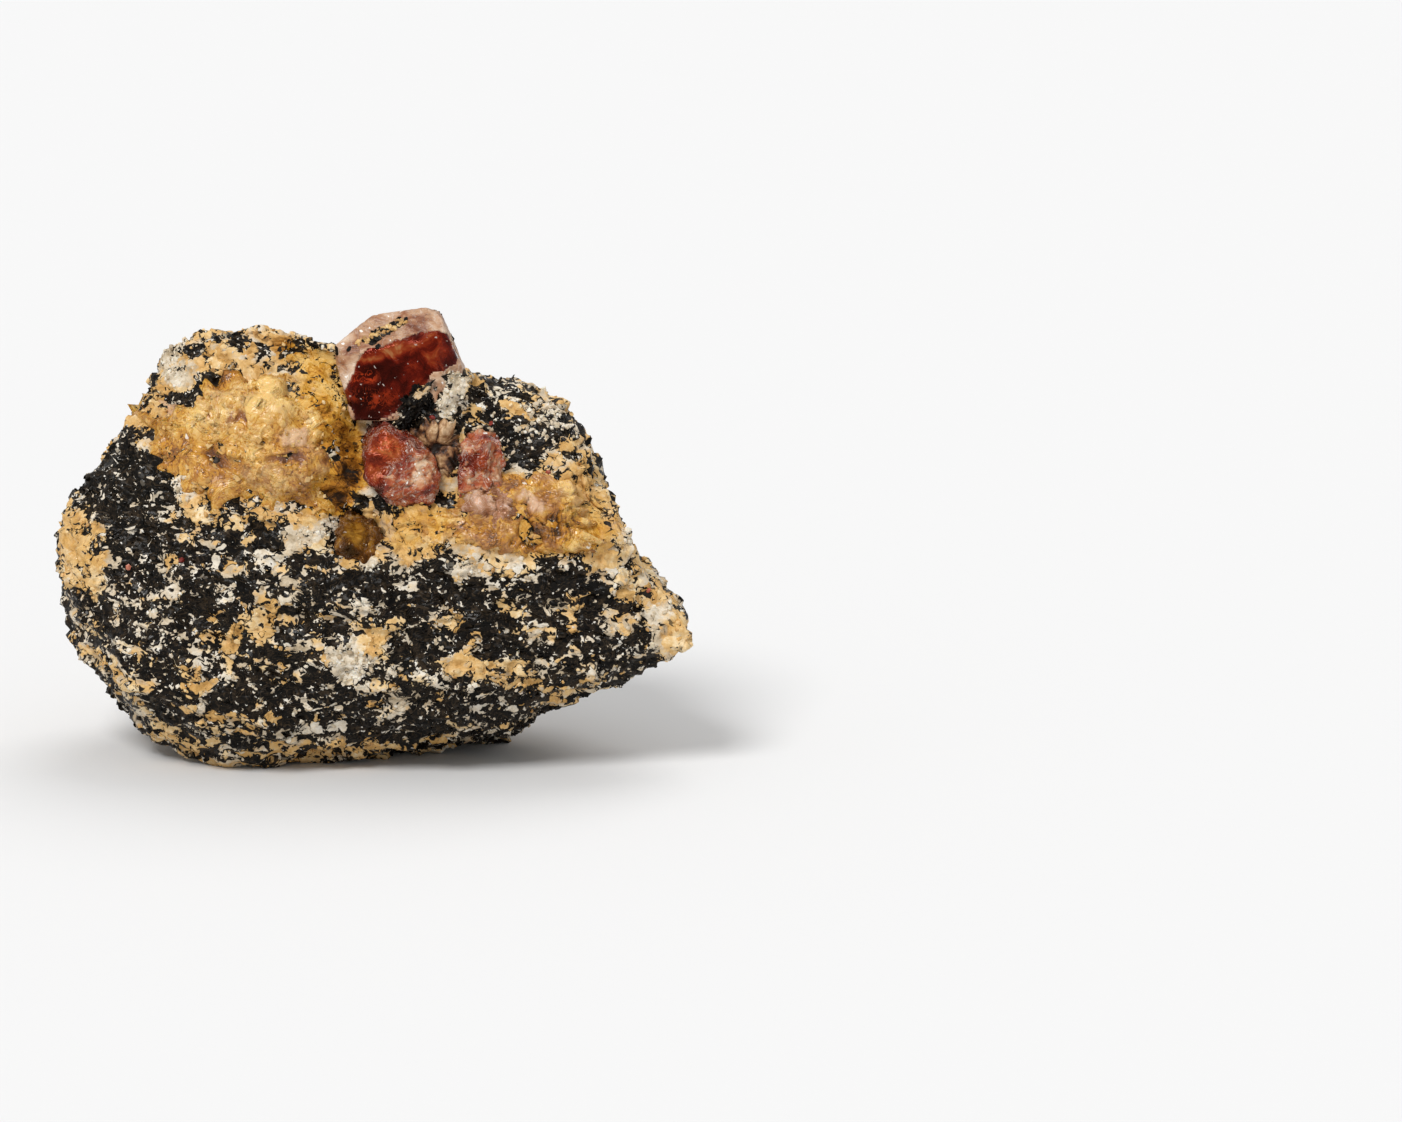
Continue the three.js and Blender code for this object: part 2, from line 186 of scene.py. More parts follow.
# ---- the lump of gneiss: the same surface as the solid's, sampled finely
rock = {
    "cells": 126,
    "coarseCells": 19,
    "centre": (-1.0, 0.0, 20.5),
    "wallPower": 5,
    "wallSteps": 400,
    "wallSize": (25, 15),
    "faceBlend": 1.3,
    "rim": [
        (31.2, -12, 13.4), (29.2, -11, 17.8), (26.2, -11.5, 22.6), (23, -12, 29), (20.2, -8.5, 33.8),
        (17.3, -5, 36.6), (12, -4.5, 38.2), (6.5, -8.4, 39.8), (0.5, -5, 40.4), (-4, -7, 41.8), (-9.5, -5.5, 43.1),
        (-15.5, -2.5, 42.6), (-19.5, -0.5, 40.3), (-22.8, 1, 36), (-25.8, 0, 31), (-29, -1.5, 26), (-31.2, 1, 20),
        (-30, 1, 13.4), (-28.2, 1, 7.4), (-22.8, 0, 1.4), (-15, -1, -4), (-6, 0, -4.6), (4, 0.5, -4.6),
        (12, -2, -2.6), (15.5, -5, 2.8), (21, -7.5, 7), (27, -9.5, 10.2),
    ],
    # a point x, y, z on each broken face, then its change of depth per mm of x and z
    "frontFaces": [
        (0, -15.6, 14, -0.02, -0.02), (-13, -10.8, 0, 0.04, -0.75), (0, -13.9, 23, -0.06, 0.36),
        (-24, -14.5, 20, -0.55, 0.1), (22, -14.6, 18, 0.22, 0.14), (-16, -12, 36, -0.05, 0.62),
        (18, -10.8, 33, 0.02, 0.52),
    ],
    "backFaces": [
        (0, 15.2, 18, 0, -0.05), (5, 10.2, 0, 0, 0.55), (0, 13.2, 30, 0, -0.75), (18, 12.5, 18, -0.62, -0.1),
        (-22, 13, 16, 0.55, 0), (-14, 12, 33, 0.2, -0.5),
    ],
    # x, z, half-widths along x and z, height outwards, turn in degrees
    "frontLumps": [
        (-15, 5, 7, 5, 1.8, 0), (-10, 34, 4.2, 3.6, 1.6, 0), (-19, 37, 4, 3, 1, 0), (-24, 26, 5, 6, -1, 0),
        (-1.5, 24.5, 2.6, 3, -2.6, 0), (-5, 28, 3.5, 1.6, -1.6, 10), (4.5, 32, 5, 3.6, -1, 0),
        (18, 25, 7, 4, 0.9, -10), (23, 29, 1.4, 5, -1.4, 25), (8, 10, 9, 4, 0.9, -10), (26, 11, 5, 5, 1.2, 0),
        (-22, 13, 4, 4, 0.9, 0), (-5, 16, 8, 2.2, -0.9, -6), (12, 18, 10, 1.8, -1, -8), (6.2, 36.6, 3, 3.4, 3.2, 0),
        (-2, 32.6, 1.3, 2.6, -1.3, 0),
    ],
    "backLumps": [
        (9, 13, 13, 2.6, -3.2, 16), (7, 4, 4.5, 6, 2.4, 0), (-27, 13, 3.6, 3.4, 2, 0), (-14, 34, 5, 4, 0.9, 0),
        (-6.5, 30, 4, 4.5, -1.8, 0), (5, 36, 6, 5, -1.5, 0), (-18, 9, 6, 3, -1.6, -12), (16, 25, 6, 5, 1.2, 0),
        (-26, 22, 4, 5, 1.2, 0), (22, 14, 4, 4, 1, 0), (-4, 17, 6, 4, 1, 0),
    ],
    # x, y, z, radius, height outwards
    "knobs": [(-9.6, -10.5, 35.4, 2.6, 1.3), (-4.6, -9, 37, 2, 0.9), (-28, -4, 20, 3, 1.2)],
    # compass angle from +X, angle above the horizon, distance from the centre
    "chips": [
        (-150, 20, 27.2), (-35, 35, 25.5), (160, 35, 27), (205, -28, 28), (35, 38, 24), (70, 55, 23.2),
        (-120, 50, 24.6), (20, -35, 27), (-118, -30, 25), (124, -45, 22.5), (138, -76, 20.9), (-68, -65, 20.6),
    ],
    # wavelength, seed, height, and whether the wave is folded into sharp crests
    "relief": [(15, 3, 0.38, False), (11, 11, -0.7, True), (5.5, 23, 0.32, False), (4.2, 37, -0.3, True)],
    "foldedLift": 0.56,
}
centre = np.array(rock["centre"])
rim = np.array(rock["rim"], dtype=float)


def rimAt(turn):
    # A closed curve through the rim points: each stretch is the cubic whose end slopes are half the chord of its
    # neighbours.
    along = (turn % 1) * len(rim)
    i = np.floor(along).astype(int)
    f = (along - i)[:, None]
    before, start, end, after = (rim[(i + k) % len(rim)] for k in (-1, 0, 1, 2))
    return 0.5 * (
        2 * start
        + (end - before) * f
        + (2 * before - 5 * start + 4 * end - after) * f**2
        + (3 * start - before - 3 * end + after) * f**3
    )


def wallDepth(reach):
    # How far the side wall has come towards the sheet: the root of 1 - reach^wallPower.
    return np.sqrt(np.clip(1 - reach ** rock["wallPower"], 0, 1))


def profileShares():
    # Length walked along the side wall from the rim inwards, as a share of the whole, at even steps of reach.
    count, (wide, deep) = rock["wallSteps"], rock["wallSize"]
    reach = 1 - np.arange(count + 1) / count
    steps = np.hypot(wide / count, np.diff(wallDepth(reach)) * deep)
    walked = np.concatenate([[0], np.cumsum(steps)])
    return walked / walked[-1], reach


profile = profileShares()


def sheetDepth(x, z, side):
    # Depth of the front (side -1) or back (side 1): the innermost of its planes, their edges blended, and the lumps.
    faces, lumps = (rock["frontFaces"], rock["frontLumps"]) if side < 0 else (rock["backFaces"], rock["backLumps"])
    blend = rock["faceBlend"]
    total = sum(np.exp(-side * blend * (y0 + perX * (x - x0) + perZ * (z - z0))) for x0, y0, z0, perX, perZ in faces)
    depth = -side * np.log(total) / blend
    for x0, z0, halfX, halfZ, height, turn in lumps:
        a, b = turned(x - x0, z - z0, -turn)
        a, b = a / halfX, b / halfZ
        depth = depth + side * height * np.exp(-a * a - b * b)
    return depth


goldenShare, goldenTurn, plasticShare = 0.618034, 2.399963, 0.7548


def roll(p, wavelength, seed):
    # Six sine waves that run in directions spread evenly over the ball, added and divided by the root of six.
    total = 0
    for k in range(6):
        s = seed + k
        up = 1 - 2 * ((s * goldenShare + 0.5 / 6) % 1)
        level = math.sqrt(1 - up * up)
        turn = goldenTurn * s
        wave = wavelength * (0.8 + 0.4 * ((s * plasticShare) % 1))
        along = p[:, 0] * level * math.cos(turn) + p[:, 1] * level * math.sin(turn) + p[:, 2] * up
        total = total + np.sin(along * 2 * math.pi / wave + 1.7 * s)
    return total / math.sqrt(6)


def skin(turn, reach, side):
    # The lump's skin: the rim shrunk to reach, depth between the rim's own and the sheet's, chips, waves and knobs.
    edge = rimAt(turn)
    p = centre + reach[:, None] * (edge - centre)
    middle = edge[:, 1] * reach**2
    sheet = np.where(side < 0, sheetDepth(p[:, 0], p[:, 2], -1), sheetDepth(p[:, 0], p[:, 2], 1))
    p[:, 1] = middle + wallDepth(reach) * (sheet - middle)
    for compass, height, distance in rock["chips"]:
        q = p - centre
        p = centre + q / np.maximum(1, q @ compassWay(compass, height) / distance)[:, None]
    swelling = 0
    for wavelength, seed, size, folded in rock["relief"]:
        wave = roll(p, wavelength, seed)
        swelling = swelling + (size * (np.abs(wave) - rock["foldedLift"]) if folded else size * wave)
    for x, y, z, radius, height in rock["knobs"]:
        swelling = swelling + height * np.exp(-((p - (x, y, z)) ** 2).sum(1) / radius**2)
    p = p + unit(p - centre) * swelling[:, None]
    p[:, 2] = np.maximum(p[:, 2], 0)
    return p


def skinAlong(directions):
    # The skin's point in each direction: its angle in the x-z plane picks the turn, its tilt the share of the wall.
    turn = np.arctan2(directions[:, 2], directions[:, 0]) / (2 * np.pi)
    tilt = np.arcsin(np.clip(directions[:, 1], -1, 1)) / (np.pi / 2)
    return skin(turn, np.interp(np.abs(tilt), *profile), np.where(tilt < 0, -1, 1))


turnTable = np.linspace(0, 1, 2001)
rimOnTable = rimAt(turnTable[:-1])
angleTable = np.unwrap(np.arctan2(rimOnTable[:, 2] - centre[2], rimOnTable[:, 0] - centre[0]))
angleTable = np.append(angleTable, angleTable[0] + 2 * np.pi)


def skinAt(x, z, side):
    # The skin's point over x, z of the front or back: the turn whose rim point lies that way, then the share of it.
    angle = np.arctan2(z - centre[2], x - centre[0])
    angle = (angle - angleTable[0]) % (2 * np.pi) + angleTable[0]
    turn = np.interp(angle, angleTable, turnTable)
    edge = rimAt(turn)
    whole = np.hypot(edge[:, 0] - centre[0], edge[:, 2] - centre[2])
    away = np.hypot(x - centre[0], z - centre[2])
    return skin(turn, np.clip(away / whole, 0, 1), np.full(len(x), side))


coarse = skinAlong(boxSphere(rock["coarseCells"])[0])
shift = -(coarse.min(0) + coarse.max(0)) / 2 * (1, 1, 0)

# ---- where the minerals lie, on the front and on the back as each is seen from 13 degrees above
# u runs to the right of the front, v upwards; half-widths, turn in degrees, then how much darker and how much more
# ochre the patch is, and how strongly it takes on honey
viewRise = math.radians(13)
minerals = {
    "foliationDip": 9,
    "foliationStretch": 1.5,
    "darkWave": 2.8,
    "ochreWave": 3.2,
    "bend": 0.9,
    # the noise's height and what is added to it
    "dark": (0.5, 0.24),
    "ochre": (0.55, 0.0),
    "frontPatches": [
        (-13, 38.6, 9, 3.6, 0, -0.75, 0.2, 0), (-23, 33, 3, 4.5, 20, -0.5, 0.45, 0.1),
        (-19.6, 38.1, 2.2, 1.8, 0, -0.4, -0.9, 0), (-16, 37.8, 1.6, 1.2, 0, -0.3, 0.4, 0),
        (-16.6, 35.2, 4.8, 0.7, 8, 1.6, 0, -0.6), (-14.6, 36.5, 2.3, 1.0, 15, 1.3, 0, -0.3),
        (-13.4, 40.6, 1.0, 0.9, 0, 1.1, 0, 0), (-11.0, 38.9, 0.9, 1.1, 0, 1.4, 0, 0),
        (-8.1, 38.9, 1.6, 0.35, 20, 1.0, 0, 0), (-17.6, 39.4, 0.8, 0.5, 20, 0.9, 0, 0),
        (-7.4, 39.0, 3.0, 1.5, -20, -0.5, 0.3, 0.6), (-4.6, 34.0, 3.0, 4.6, 0, -0.9, 0.5, 1.0),
        (-15, 26.0, 1.4, 1.2, 0, 1.6, 0, 0), (-18.6, 25.2, 1.6, 1.1, 0, -0.9, -1.1, 0),
        (-16.6, 23.8, 1.6, 1.4, 0, -0.4, 0.9, 0), (-24.5, 27, 5, 3.6, -30, 1.05, -0.4, 0),
        (-25, 21.5, 5.5, 4, 0, 0.5, -0.2, 0), (-29.4, 19.8, 3.0, 3.8, 0, -1.4, 1.0, 0.3),
        (-12.4, 30, 11, 7.4, -12, -0.5, 0.8, 0.4), (3.2, 16.2, 16, 1.8, 0, 0.32, -0.2, 0),
        (-12.3, 11.3, 2.8, 1.9, 0, -1.0, 1.0, 0), (0.4, 10.8, 2.6, 1.4, 0, -0.7, 0.8, 0),
        (11.2, 7.6, 5.4, 1.8, -15, -0.8, 0.7, 0), (-18.5, 7.4, 1.4, 2.2, 0, -0.6, 0.7, 0),
        (-2.1, 8.8, 2.2, 1.9, 0, -0.95, -0.9, 0), (-7.6, 20.4, 2.4, 2.2, 0, -0.5, -0.3, 0),
        (-4.3, 24.6, 2.1, 1.2, 0, -0.9, 0.8, 1.5), (-6.0, 21.6, 2.6, 2.4, 10, -0.75, 0.0, 0),
        (0.4, 18.4, 4.8, 1.3, 0, -0.9, 0, 0), (15.8, 22.4, 10, 4.6, -8, -0.5, 0.5, 0.5),
        (11.2, 17.8, 5, 2.2, 0, -0.9, -0.1, 0), (20.6, 21, 2.6, 1.6, 0, -0.6, -0.5, 0.2),
        (20.6, 24.2, 3.6, 5.8, 15, -0.5, 0.6, 0.1), (26.6, 17, 3.4, 7.4, 28, -0.75, 0.25, 0),
        (30.6, 10.6, 1.8, 1.8, 0, -1.0, 0.9, 0), (16.4, 33.5, 6, 3.4, -30, -0.3, -0.1, 0),
        (4.6, 32.8, 2.6, 2.6, 0, 0.8, -0.3, 0), (7.7, 35.0, 1.3, 2.6, -10, -1.5, -0.8, 0),
        (-2.0, 29, 1.3, 2.8, 0, -0.9, 0.9, 1.05), (6.2, 29.2, 3.2, 2.8, 0, -0.3, 0.5, 0.3),
        (3.4, 21.6, 5, 2.6, 0, -1.0, 0.5, 0.45), (-3.6, 26.4, 3.6, 1.8, 0, -1.2, 0.7, 1.0),
        (-1, 41.5, 3, 3, 0, -0.2, 0, 0), (9, 4.5, 10, 3, -10, -0.05, -0.25, 0),
        (-14, 2.4, 9, 3, -12, -0.12, 0.15, 0), (-12, 22, 5, 2, 0, -0.2, 0.35, 0),
        (-13.5, 41.4, 7.5, 1.7, 0, -0.5, 0.2, 0), (-26.5, 7.6, 4.2, 0.9, -47, -0.5, 0.6, 0),
        (-19.6, 0.9, 5.2, 0.9, -32, -0.5, 0.7, 0), (-6, -1.0, 10, 0.9, 6, -0.4, 0.6, 0),
        (18, 5.4, 7, 0.8, 22, -0.35, 0.5, 0),
    ],
    "backPatches": [
        (0, 20, 60, 60, 0, -0.2, 0.2, 0), (-3.2, 33.4, 2.4, 3, 0, -0.5, -0.4, 0),
        (-1.6, 35.4, 1.8, 2.2, 0, -0.8, 0.8, 0.6), (-10.2, 16.6, 3.2, 2.5, 0, -1.2, 0.1, 0),
        (-15.5, 17, 2.8, 2.4, 0, -1.5, -1.1, 0), (-5.8, 15.3, 2.6, 2.4, 0, -1.5, -1.0, 0),
        (6, 17.4, 9, 4.4, 10, 0.35, -0.3, 0), (16.4, 9.8, 6, 3.4, 20, 0.2, -0.2, 0),
        (17.5, 33, 6.5, 5.5, 0, -0.4, 0.45, 0.25), (4.5, 27, 7.5, 1.5, 0, -0.75, 0.6, 0),
        (-18.4, 24, 6.6, 6.4, 0, -0.35, 0.4, 0), (-28, 18.6, 3, 5.6, 0, -0.8, 0.9, 0.7),
        (-27, 28, 2.6, 3, 0, -0.6, 0.8, 0.5), (-20.5, 9.5, 6.2, 1.6, -35, -1.4, 1.1, 0.8),
        (6.5, 5, 4.4, 6.4, 0, -0.8, 0.9, 0.65), (9.6, 1.6, 3, 2.4, 0, -0.4, 0.5, 0.3),
        (-9, 3.4, 4, 2.4, 20, -0.5, 0.5, 0), (22.2, 15.4, 1.7, 2, 0, -1.0, 0.9, 0.6),
        (19, 19, 2.4, 1.7, 0, -0.8, 0.8, 0.6), (22.6, 25, 2.6, 3, 0, -0.5, -0.6, 0),
        (-4.6, 21.8, 2.8, 2.2, 0, -0.8, -0.6, 0), (-9, 38.6, 8, 3.4, 0, 0.1, -0.2, 0),
        (-4.5, 41, 4, 1.2, 8, -0.7, 0, 0), (27.6, 16.4, 4, 4.4, 0, -0.3, -0.5, 0),
        (2.4, 31.4, 3.4, 1.4, 0, -0.5, -0.5, 0), (-23, 12.4, 2, 2, 0, 0.2, 0.2, 0),
    ],
}
dip = math.radians(minerals["foliationDip"])
acrossBands = np.array([math.sin(dip), 0, math.cos(dip)])


def patchSum(u, v, patches, count):
    # Each patch adds its strengths times e to the minus (a^2 + b^2)^2, where a and b are distances over its
    # half-widths.
    total = np.zeros((count, len(u)))
    for u0, v0, halfU, halfV, turn, *strength in patches:
        a, b = turned(u - u0, v - v0, -turn)
        a, b = a / halfU, b / halfV
        total += np.array(strength)[:, None] * np.exp(-((a * a + b * b) ** 2))
    return total


def seenHeight(p, way):
    # v of each point as the front (way 1) or the back (way -1) is seen.
    return way * p[:, 1] * math.sin(viewRise) + p[:, 2] * math.cos(viewRise)


def patchesAt(p, values):
    # The strengths of the front's patches on the front half, of the back's on the back half, eased between them.
    front = easeStep(-p[:, 1], -3, 2)
    ahead = patchSum(p[:, 0], seenHeight(p, 1), values["frontPatches"], 3)
    behind = patchSum(p[:, 0], seenHeight(p, -1), values["backPatches"], 3)
    return front * ahead + (1 - front) * behind


def mineralFields(p):
    # dark, ochre and honey at each point: layered noise flattened along the foliation, plus the patches.
    flat = p + acrossBands * ((p @ acrossBands) * (minerals["foliationStretch"] - 1))[:, None]
    bend = shakes(p, 5, 900) * minerals["bend"]
    flat = flat + bend
    patches = patchesAt(p + bend * 0.8, minerals)
    (darkHeight, darkBase), (ochreHeight, ochreBase) = minerals["dark"], minerals["ochre"]
    dark = layered(flat, minerals["darkWave"], 17, 3, 0.7) * darkHeight + darkBase + patches[0]
    ochre = layered(flat, minerals["ochreWave"], 211, 3, 0.7) * ochreHeight + ochreBase + patches[1]
    return dark, ochre, np.clip(patches[2], 0, 2)


# ---- crystals: their flat faces, each a direction outwards and a point on it
# glossy is the outline of the clean face as the front is seen; a patch is u, v, half-widths, turn, then how much more
# frosted, how much brighter and how strongly painted glints run through it as ember lines
crystals = {
    "zircon_main": {
        "faces": [
            ((-0.05, -0.965, 0.26), (2.3, -8.4, 39.6)), ((-0.15, -0.59, 0.79), (3, -5.4, 44.4)),
            ((-0.13, 0.38, 0.92), (3.4, -3.6, 45.2)), ((0.05, 0.84, 0.54), (4, 9.3, 36.3)),
            ((-0.66, 0.3, 0.69), (-2.3, -5, 43.1)), ((-0.93, 0.16, -0.33), (-3.3, -6, 40)),
            ((-0.74, -0.66, 0.05), (-3.0, -7.4, 40)), ((0.92, 0.06, 0.384), (7.9, -6, 42.4)),
            ((0.62, -0.76, 0.2), (7.4, -7.6, 40)), ((0.42, 0.1, 0.9), (7.4, -3.5, 44.6)),
            ((0, -0.215, -0.977), (1, -9.2, 35.3)), ((0.3, 0.1, -0.95), (6, 11, 33.2)),
            ((0.82, 0.15, -0.55), (11.4, 8, 36.6)), ((-0.75, 0.4, -0.52), (-1.6, 4, 41.5)),
            ((-0.5, 0.85, 0.3), (-1.0, 6.0, 39.5)),
        ],
        "frost": [0, 0.95, 0.8, 0.45, 0.7, 0.3, 0.25, 0.8, 0.75, 0.85, 0, 0, 0.2, 0.2, 0.5],
        "middle": (3.2, -1.5, 39.6), "cells": 70, "sharpness": 52, "etch": 0.1, "stripes": 0.05,
        "glossy": [
            (-0.8, 39.3), (2.3, 40.1), (3.8, 40.9), (7.4, 41.2), (8.7, 38.6), (7.4, 37.6), (5.8, 36.8), (4.9, 35.6),
            (3.4, 34.4), (2.3, 33.2), (0.3, 32.3), (-1.6, 32.2), (-2.7, 34.9), (-2, 36.8),
        ],
        "frontPatches": [
            (1.2, 39.0, 3.2, 0.9, 14, 0, 0.45, 0), (6, 39.4, 2.2, 1.5, 10, -0.05, 0.32, 0),
            (4.2, 37.0, 1.4, 1.2, 0, 0, 0.3, 0), (-0.9, 36.6, 1.6, 0.7, 8, 0, 0.15, 1),
            (0.2, 34.5, 2.6, 0.9, -8, 0, 0.02, 0.5), (1, 37.2, 2.2, 1.2, 0, 0, -0.3, 0),
            (-0.4, 33.6, 2.4, 1.6, 20, 0, -0.25, 0), (-1, 34.6, 1.2, 1.2, 0, 0, -0.25, 0),
            (-1.8, 38.2, 0.5, 2.2, -14, 0.5, 0.2, 0), (-2.5, 41.0, 1.5, 1.6, 0, 0.1, 0.3, 0),
        ],
        "backPatches": [
            (4.8, 34.2, 3.8, 4.4, 0, -0.9, 0.1, 0.4), (4.1, 40.3, 6.0, 1.7, -8, -0.6, 0.5, 0.3),
            (1.4, 37.2, 1.6, 2, 0, -0.6, 0.5, 0.4), (7.8, 33.0, 1.4, 1.4, 0, 0.2, 0.3, 1),
            (3.6, 31.8, 1.4, 1.2, 0, -0.4, -0.4, 0), (8.2, 40.8, 2.0, 2.4, 0, 0.4, 0, 0),
        ],
    },
    "zircon_front": {
        "faces": [
            ((0, -0.98, 0.2), (2.7, -13.4, 31)), ((-0.45, -0.8, 0.4), (0.7, -12.9, 32.6)),
            ((0.5, -0.82, 0.1), (5.0, -12.9, 30.6)), ((0.1, -0.8, -0.6), (3.5, -12.9, 28.4)),
            ((-0.97, -0.1, 0.22), (-0.6, -11, 32)), ((-0.6, -0.1, 0.8), (0.2, -11, 34.6)),
            ((0.5, -0.1, 0.86), (2.0, -11, 34.9)), ((0.88, -0.1, 0.46), (5.6, -11, 32.4)),
            ((0.95, -0.1, -0.3), (6.6, -11, 29.6)), ((0.3, -0.1, -0.95), (4.4, -11, 27.0)),
            ((-0.72, -0.1, -0.7), (0.6, -11, 28.8)), ((0, 0.97, -0.25), (3, -6, 31)),
        ],
        "frost": [0.45, 0.25, 0.8, 0.75, 0.3, 0.3, 0.4, 0.7, 0.7, 0.6, 0.5, 0],
        "middle": (2.9, -10.4, 31), "cells": 48, "wobble": 0.12, "sharpness": 14, "etch": 0.34, "stripes": 0.0,
        "frontPatches": [
            (1.6, 29.6, 1.4, 1.4, 0, -0.4, 0.4, 0.8), (0.6, 27.6, 1.2, 2.2, 0, -0.3, 0.25, 0.2),
            (2.6, 26.2, 1.8, 1.8, 0, 0.5, 0, 0.5), (5.2, 27.4, 1.4, 1.8, -20, 0.6, 0.4, 0),
            (4.0, 24.6, 2, 1.0, 0, 0.1, 0, 0.5), (0.4, 24.8, 1.2, 1.2, 0, -0.2, -0.4, 0),
            (3.6, 25.6, 0.6, 0.6, 0, -0.3, -0.6, 0),
        ],
        "backPatches": [],
    },
    "zircon_right": {
        "faces": [
            ((-0.2, -0.97, 0.15), (10.8, -12.3, 31)), ((0.75, -0.65, 0.1), (12.0, -11.8, 31)),
            ((-0.98, -0.1, 0.1), (9.0, -11, 31)), ((0.97, 0.05, -0.1), (12.7, -11, 31)),
            ((-0.15, -0.3, 0.94), (10.4, -11, 33.8)), ((0.5, -0.2, 0.85), (11.8, -11, 33.4)),
            ((-0.3, -0.35, -0.9), (10.4, -11.4, 28.4)), ((0, 0.95, -0.3), (11, -6.5, 31)),
        ],
        "frost": [0.5, 0.8, 0.4, 0.8, 0.6, 0.6, 0.8, 0],
        "middle": (10.8, -10, 31), "cells": 40, "wobble": 0.3, "sharpness": 20, "etch": 0.3, "stripes": 0.03,
        "frontPatches": [
            (10.2, 30.2, 1.4, 1, 0, 0.5, 0.3, 0.3), (11.0, 28.0, 1.3, 1.2, 0, -0.3, 0.1, 0.3),
            (10.2, 26.4, 1.4, 1, 0, 0.3, 0.4, 0), (12.2, 27.6, 0.6, 1.6, 0, 0.6, 0.4, 0),
        ],
        "backPatches": [],
    },
    "zircon_back": {
        "faces": [
            ((0.1, 0.97, -0.22), (-6.4, 14.2, 27.6)), ((-0.5, 0.84, 0.2), (-8.6, 13.8, 28.4)),
            ((0.45, 0.85, 0.3), (-4.2, 13.8, 28.8)), ((-0.1, 0.5, 0.86), (-6.4, 12.9, 30.6)),
            ((0.5, 0.1, 0.86), (-3.4, 12, 30.2)), ((0.92, 0.1, -0.38), (-2.5, 12, 28.8)),
            ((0.62, 0.1, -0.78), (-4.6, 12, 25.8)), ((-0.3, 0.15, -0.94), (-7.4, 12, 24.9)),
            ((-0.86, 0.1, -0.5), (-9.6, 12, 26.6)), ((-0.92, 0.1, 0.38), (-10.1, 12, 28.8)),
            ((0, -0.97, 0.2), (-6.4, 6.5, 27.6)),
        ],
        "frost": [0.1, 0.35, 0.3, 0.3, 0.5, 0.6, 0.75, 0.85, 0.6, 0.4, 0],
        "middle": (-6.3, 10.8, 27.8), "cells": 46, "wobble": 0.15, "sharpness": 24, "etch": 0.26, "stripes": 0.0,
        "frontPatches": [],
        "backPatches": [
            (-8.6, 24.6, 1.4, 1.8, 0, -0.2, 0.35, 0.3), (-5.4, 25.8, 1.6, 1, 0, -0.2, 0.3, 0.5),
            (-6.2, 23.8, 1.2, 1.2, 0, -0.3, -0.3, 0), (-3.4, 24.6, 0.9, 1.4, 0, 0.5, 0.3, 0),
            (-6.0, 21.6, 2.4, 0.8, 0, 0.5, 0.2, 0),
        ],
    },
    "quartz_back": {
        "faces": [
            ((0.1, 0.9, 0.4), (-7.2, 12.8, 32.6)), ((-0.55, 0.8, 0.25), (-9.6, 12.2, 32.4)),
            ((0.5, 0.78, 0.35), (-5.0, 12.2, 32.6)), ((-0.05, 0.2, 0.98), (-7.0, 10.6, 34.2)),
            ((0.7, 0.1, 0.7), (-4.2, 10.6, 33.6)), ((0.9, 0.1, -0.4), (-3.6, 10.6, 32.2)),
            ((0.45, 0.1, -0.88), (-5.2, 10.6, 30.6)), ((-0.98, 0.1, 0.1), (-10.9, 10.6, 32)),
            ((0, 0.1, -0.99), (-7.4, 10.6, 29.4)), ((0, -0.97, 0.2), (-7.2, 5.5, 32.6)),
        ],
        "frost": [0.1, 0.35, 0.2, 0.2, 0.3, 0.3, 0.2, 0.5, 0.2, 0],
        "middle": (-7.2, 9.4, 32), "cells": 44, "wobble": 0.08, "sharpness": 34, "etch": 0.2, "stripes": 0.05,
        "frontPatches": [],
        "backPatches": [
            (-8.8, 28.6, 0.8, 1.8, 0, 0.5, 0.3, 0), (-6.0, 30.4, 2.4, 0.7, 0, -0.3, -0.5, 0),
            (-5.6, 28.6, 1.4, 1, 0, 0.2, 0.4, 0),
        ],
    },
    "calcite_amber": {
        "faces": [
            ((-0.1, -0.97, 0.2), (-1.4, -13.8, 24)), ((0.6, -0.78, 0.1), (-0.2, -13.5, 24)),
            ((-0.7, -0.7, 0.1), (-2.7, -13.4, 24)), ((-0.97, 0, 0.2), (-3.3, -12.5, 24)),
            ((0.97, 0, -0.2), (0.5, -12.5, 24)), ((0.25, -0.2, 0.94), (-1.2, -12.5, 25.6)),
            ((-0.3, -0.2, -0.93), (-1.6, -12.5, 21.8)), ((0, 0.97, 0.1), (-1.4, -9, 24)),
        ],
        "frost": [0.2, 0.3, 0.4, 0.3, 0.3, 0.4, 0.4, 0],
        "middle": (-1.4, -11.6, 23.8), "cells": 34, "wobble": 0.3, "sharpness": 18, "etch": 0.36, "stripes": 0.0,
        "frontPatches": [(-1.6, 21.0, 1.2, 1.3, 0, -0.3, 0.4, 0.2), (-2.4, 19.2, 1.0, 0.8, 0, 0, -0.3, 0)],
        "backPatches": [],
    },
}


def faceRows(crystal):
    # Each flat face's direction outwards and its distance from the crystal's middle.
    out = unit(np.array([face[0] for face in crystal["faces"]], dtype=float))
    on = np.array([face[1] for face in crystal["faces"]], dtype=float)
    return out, np.einsum("ij,ij->i", out, on - np.array(crystal["middle"]))


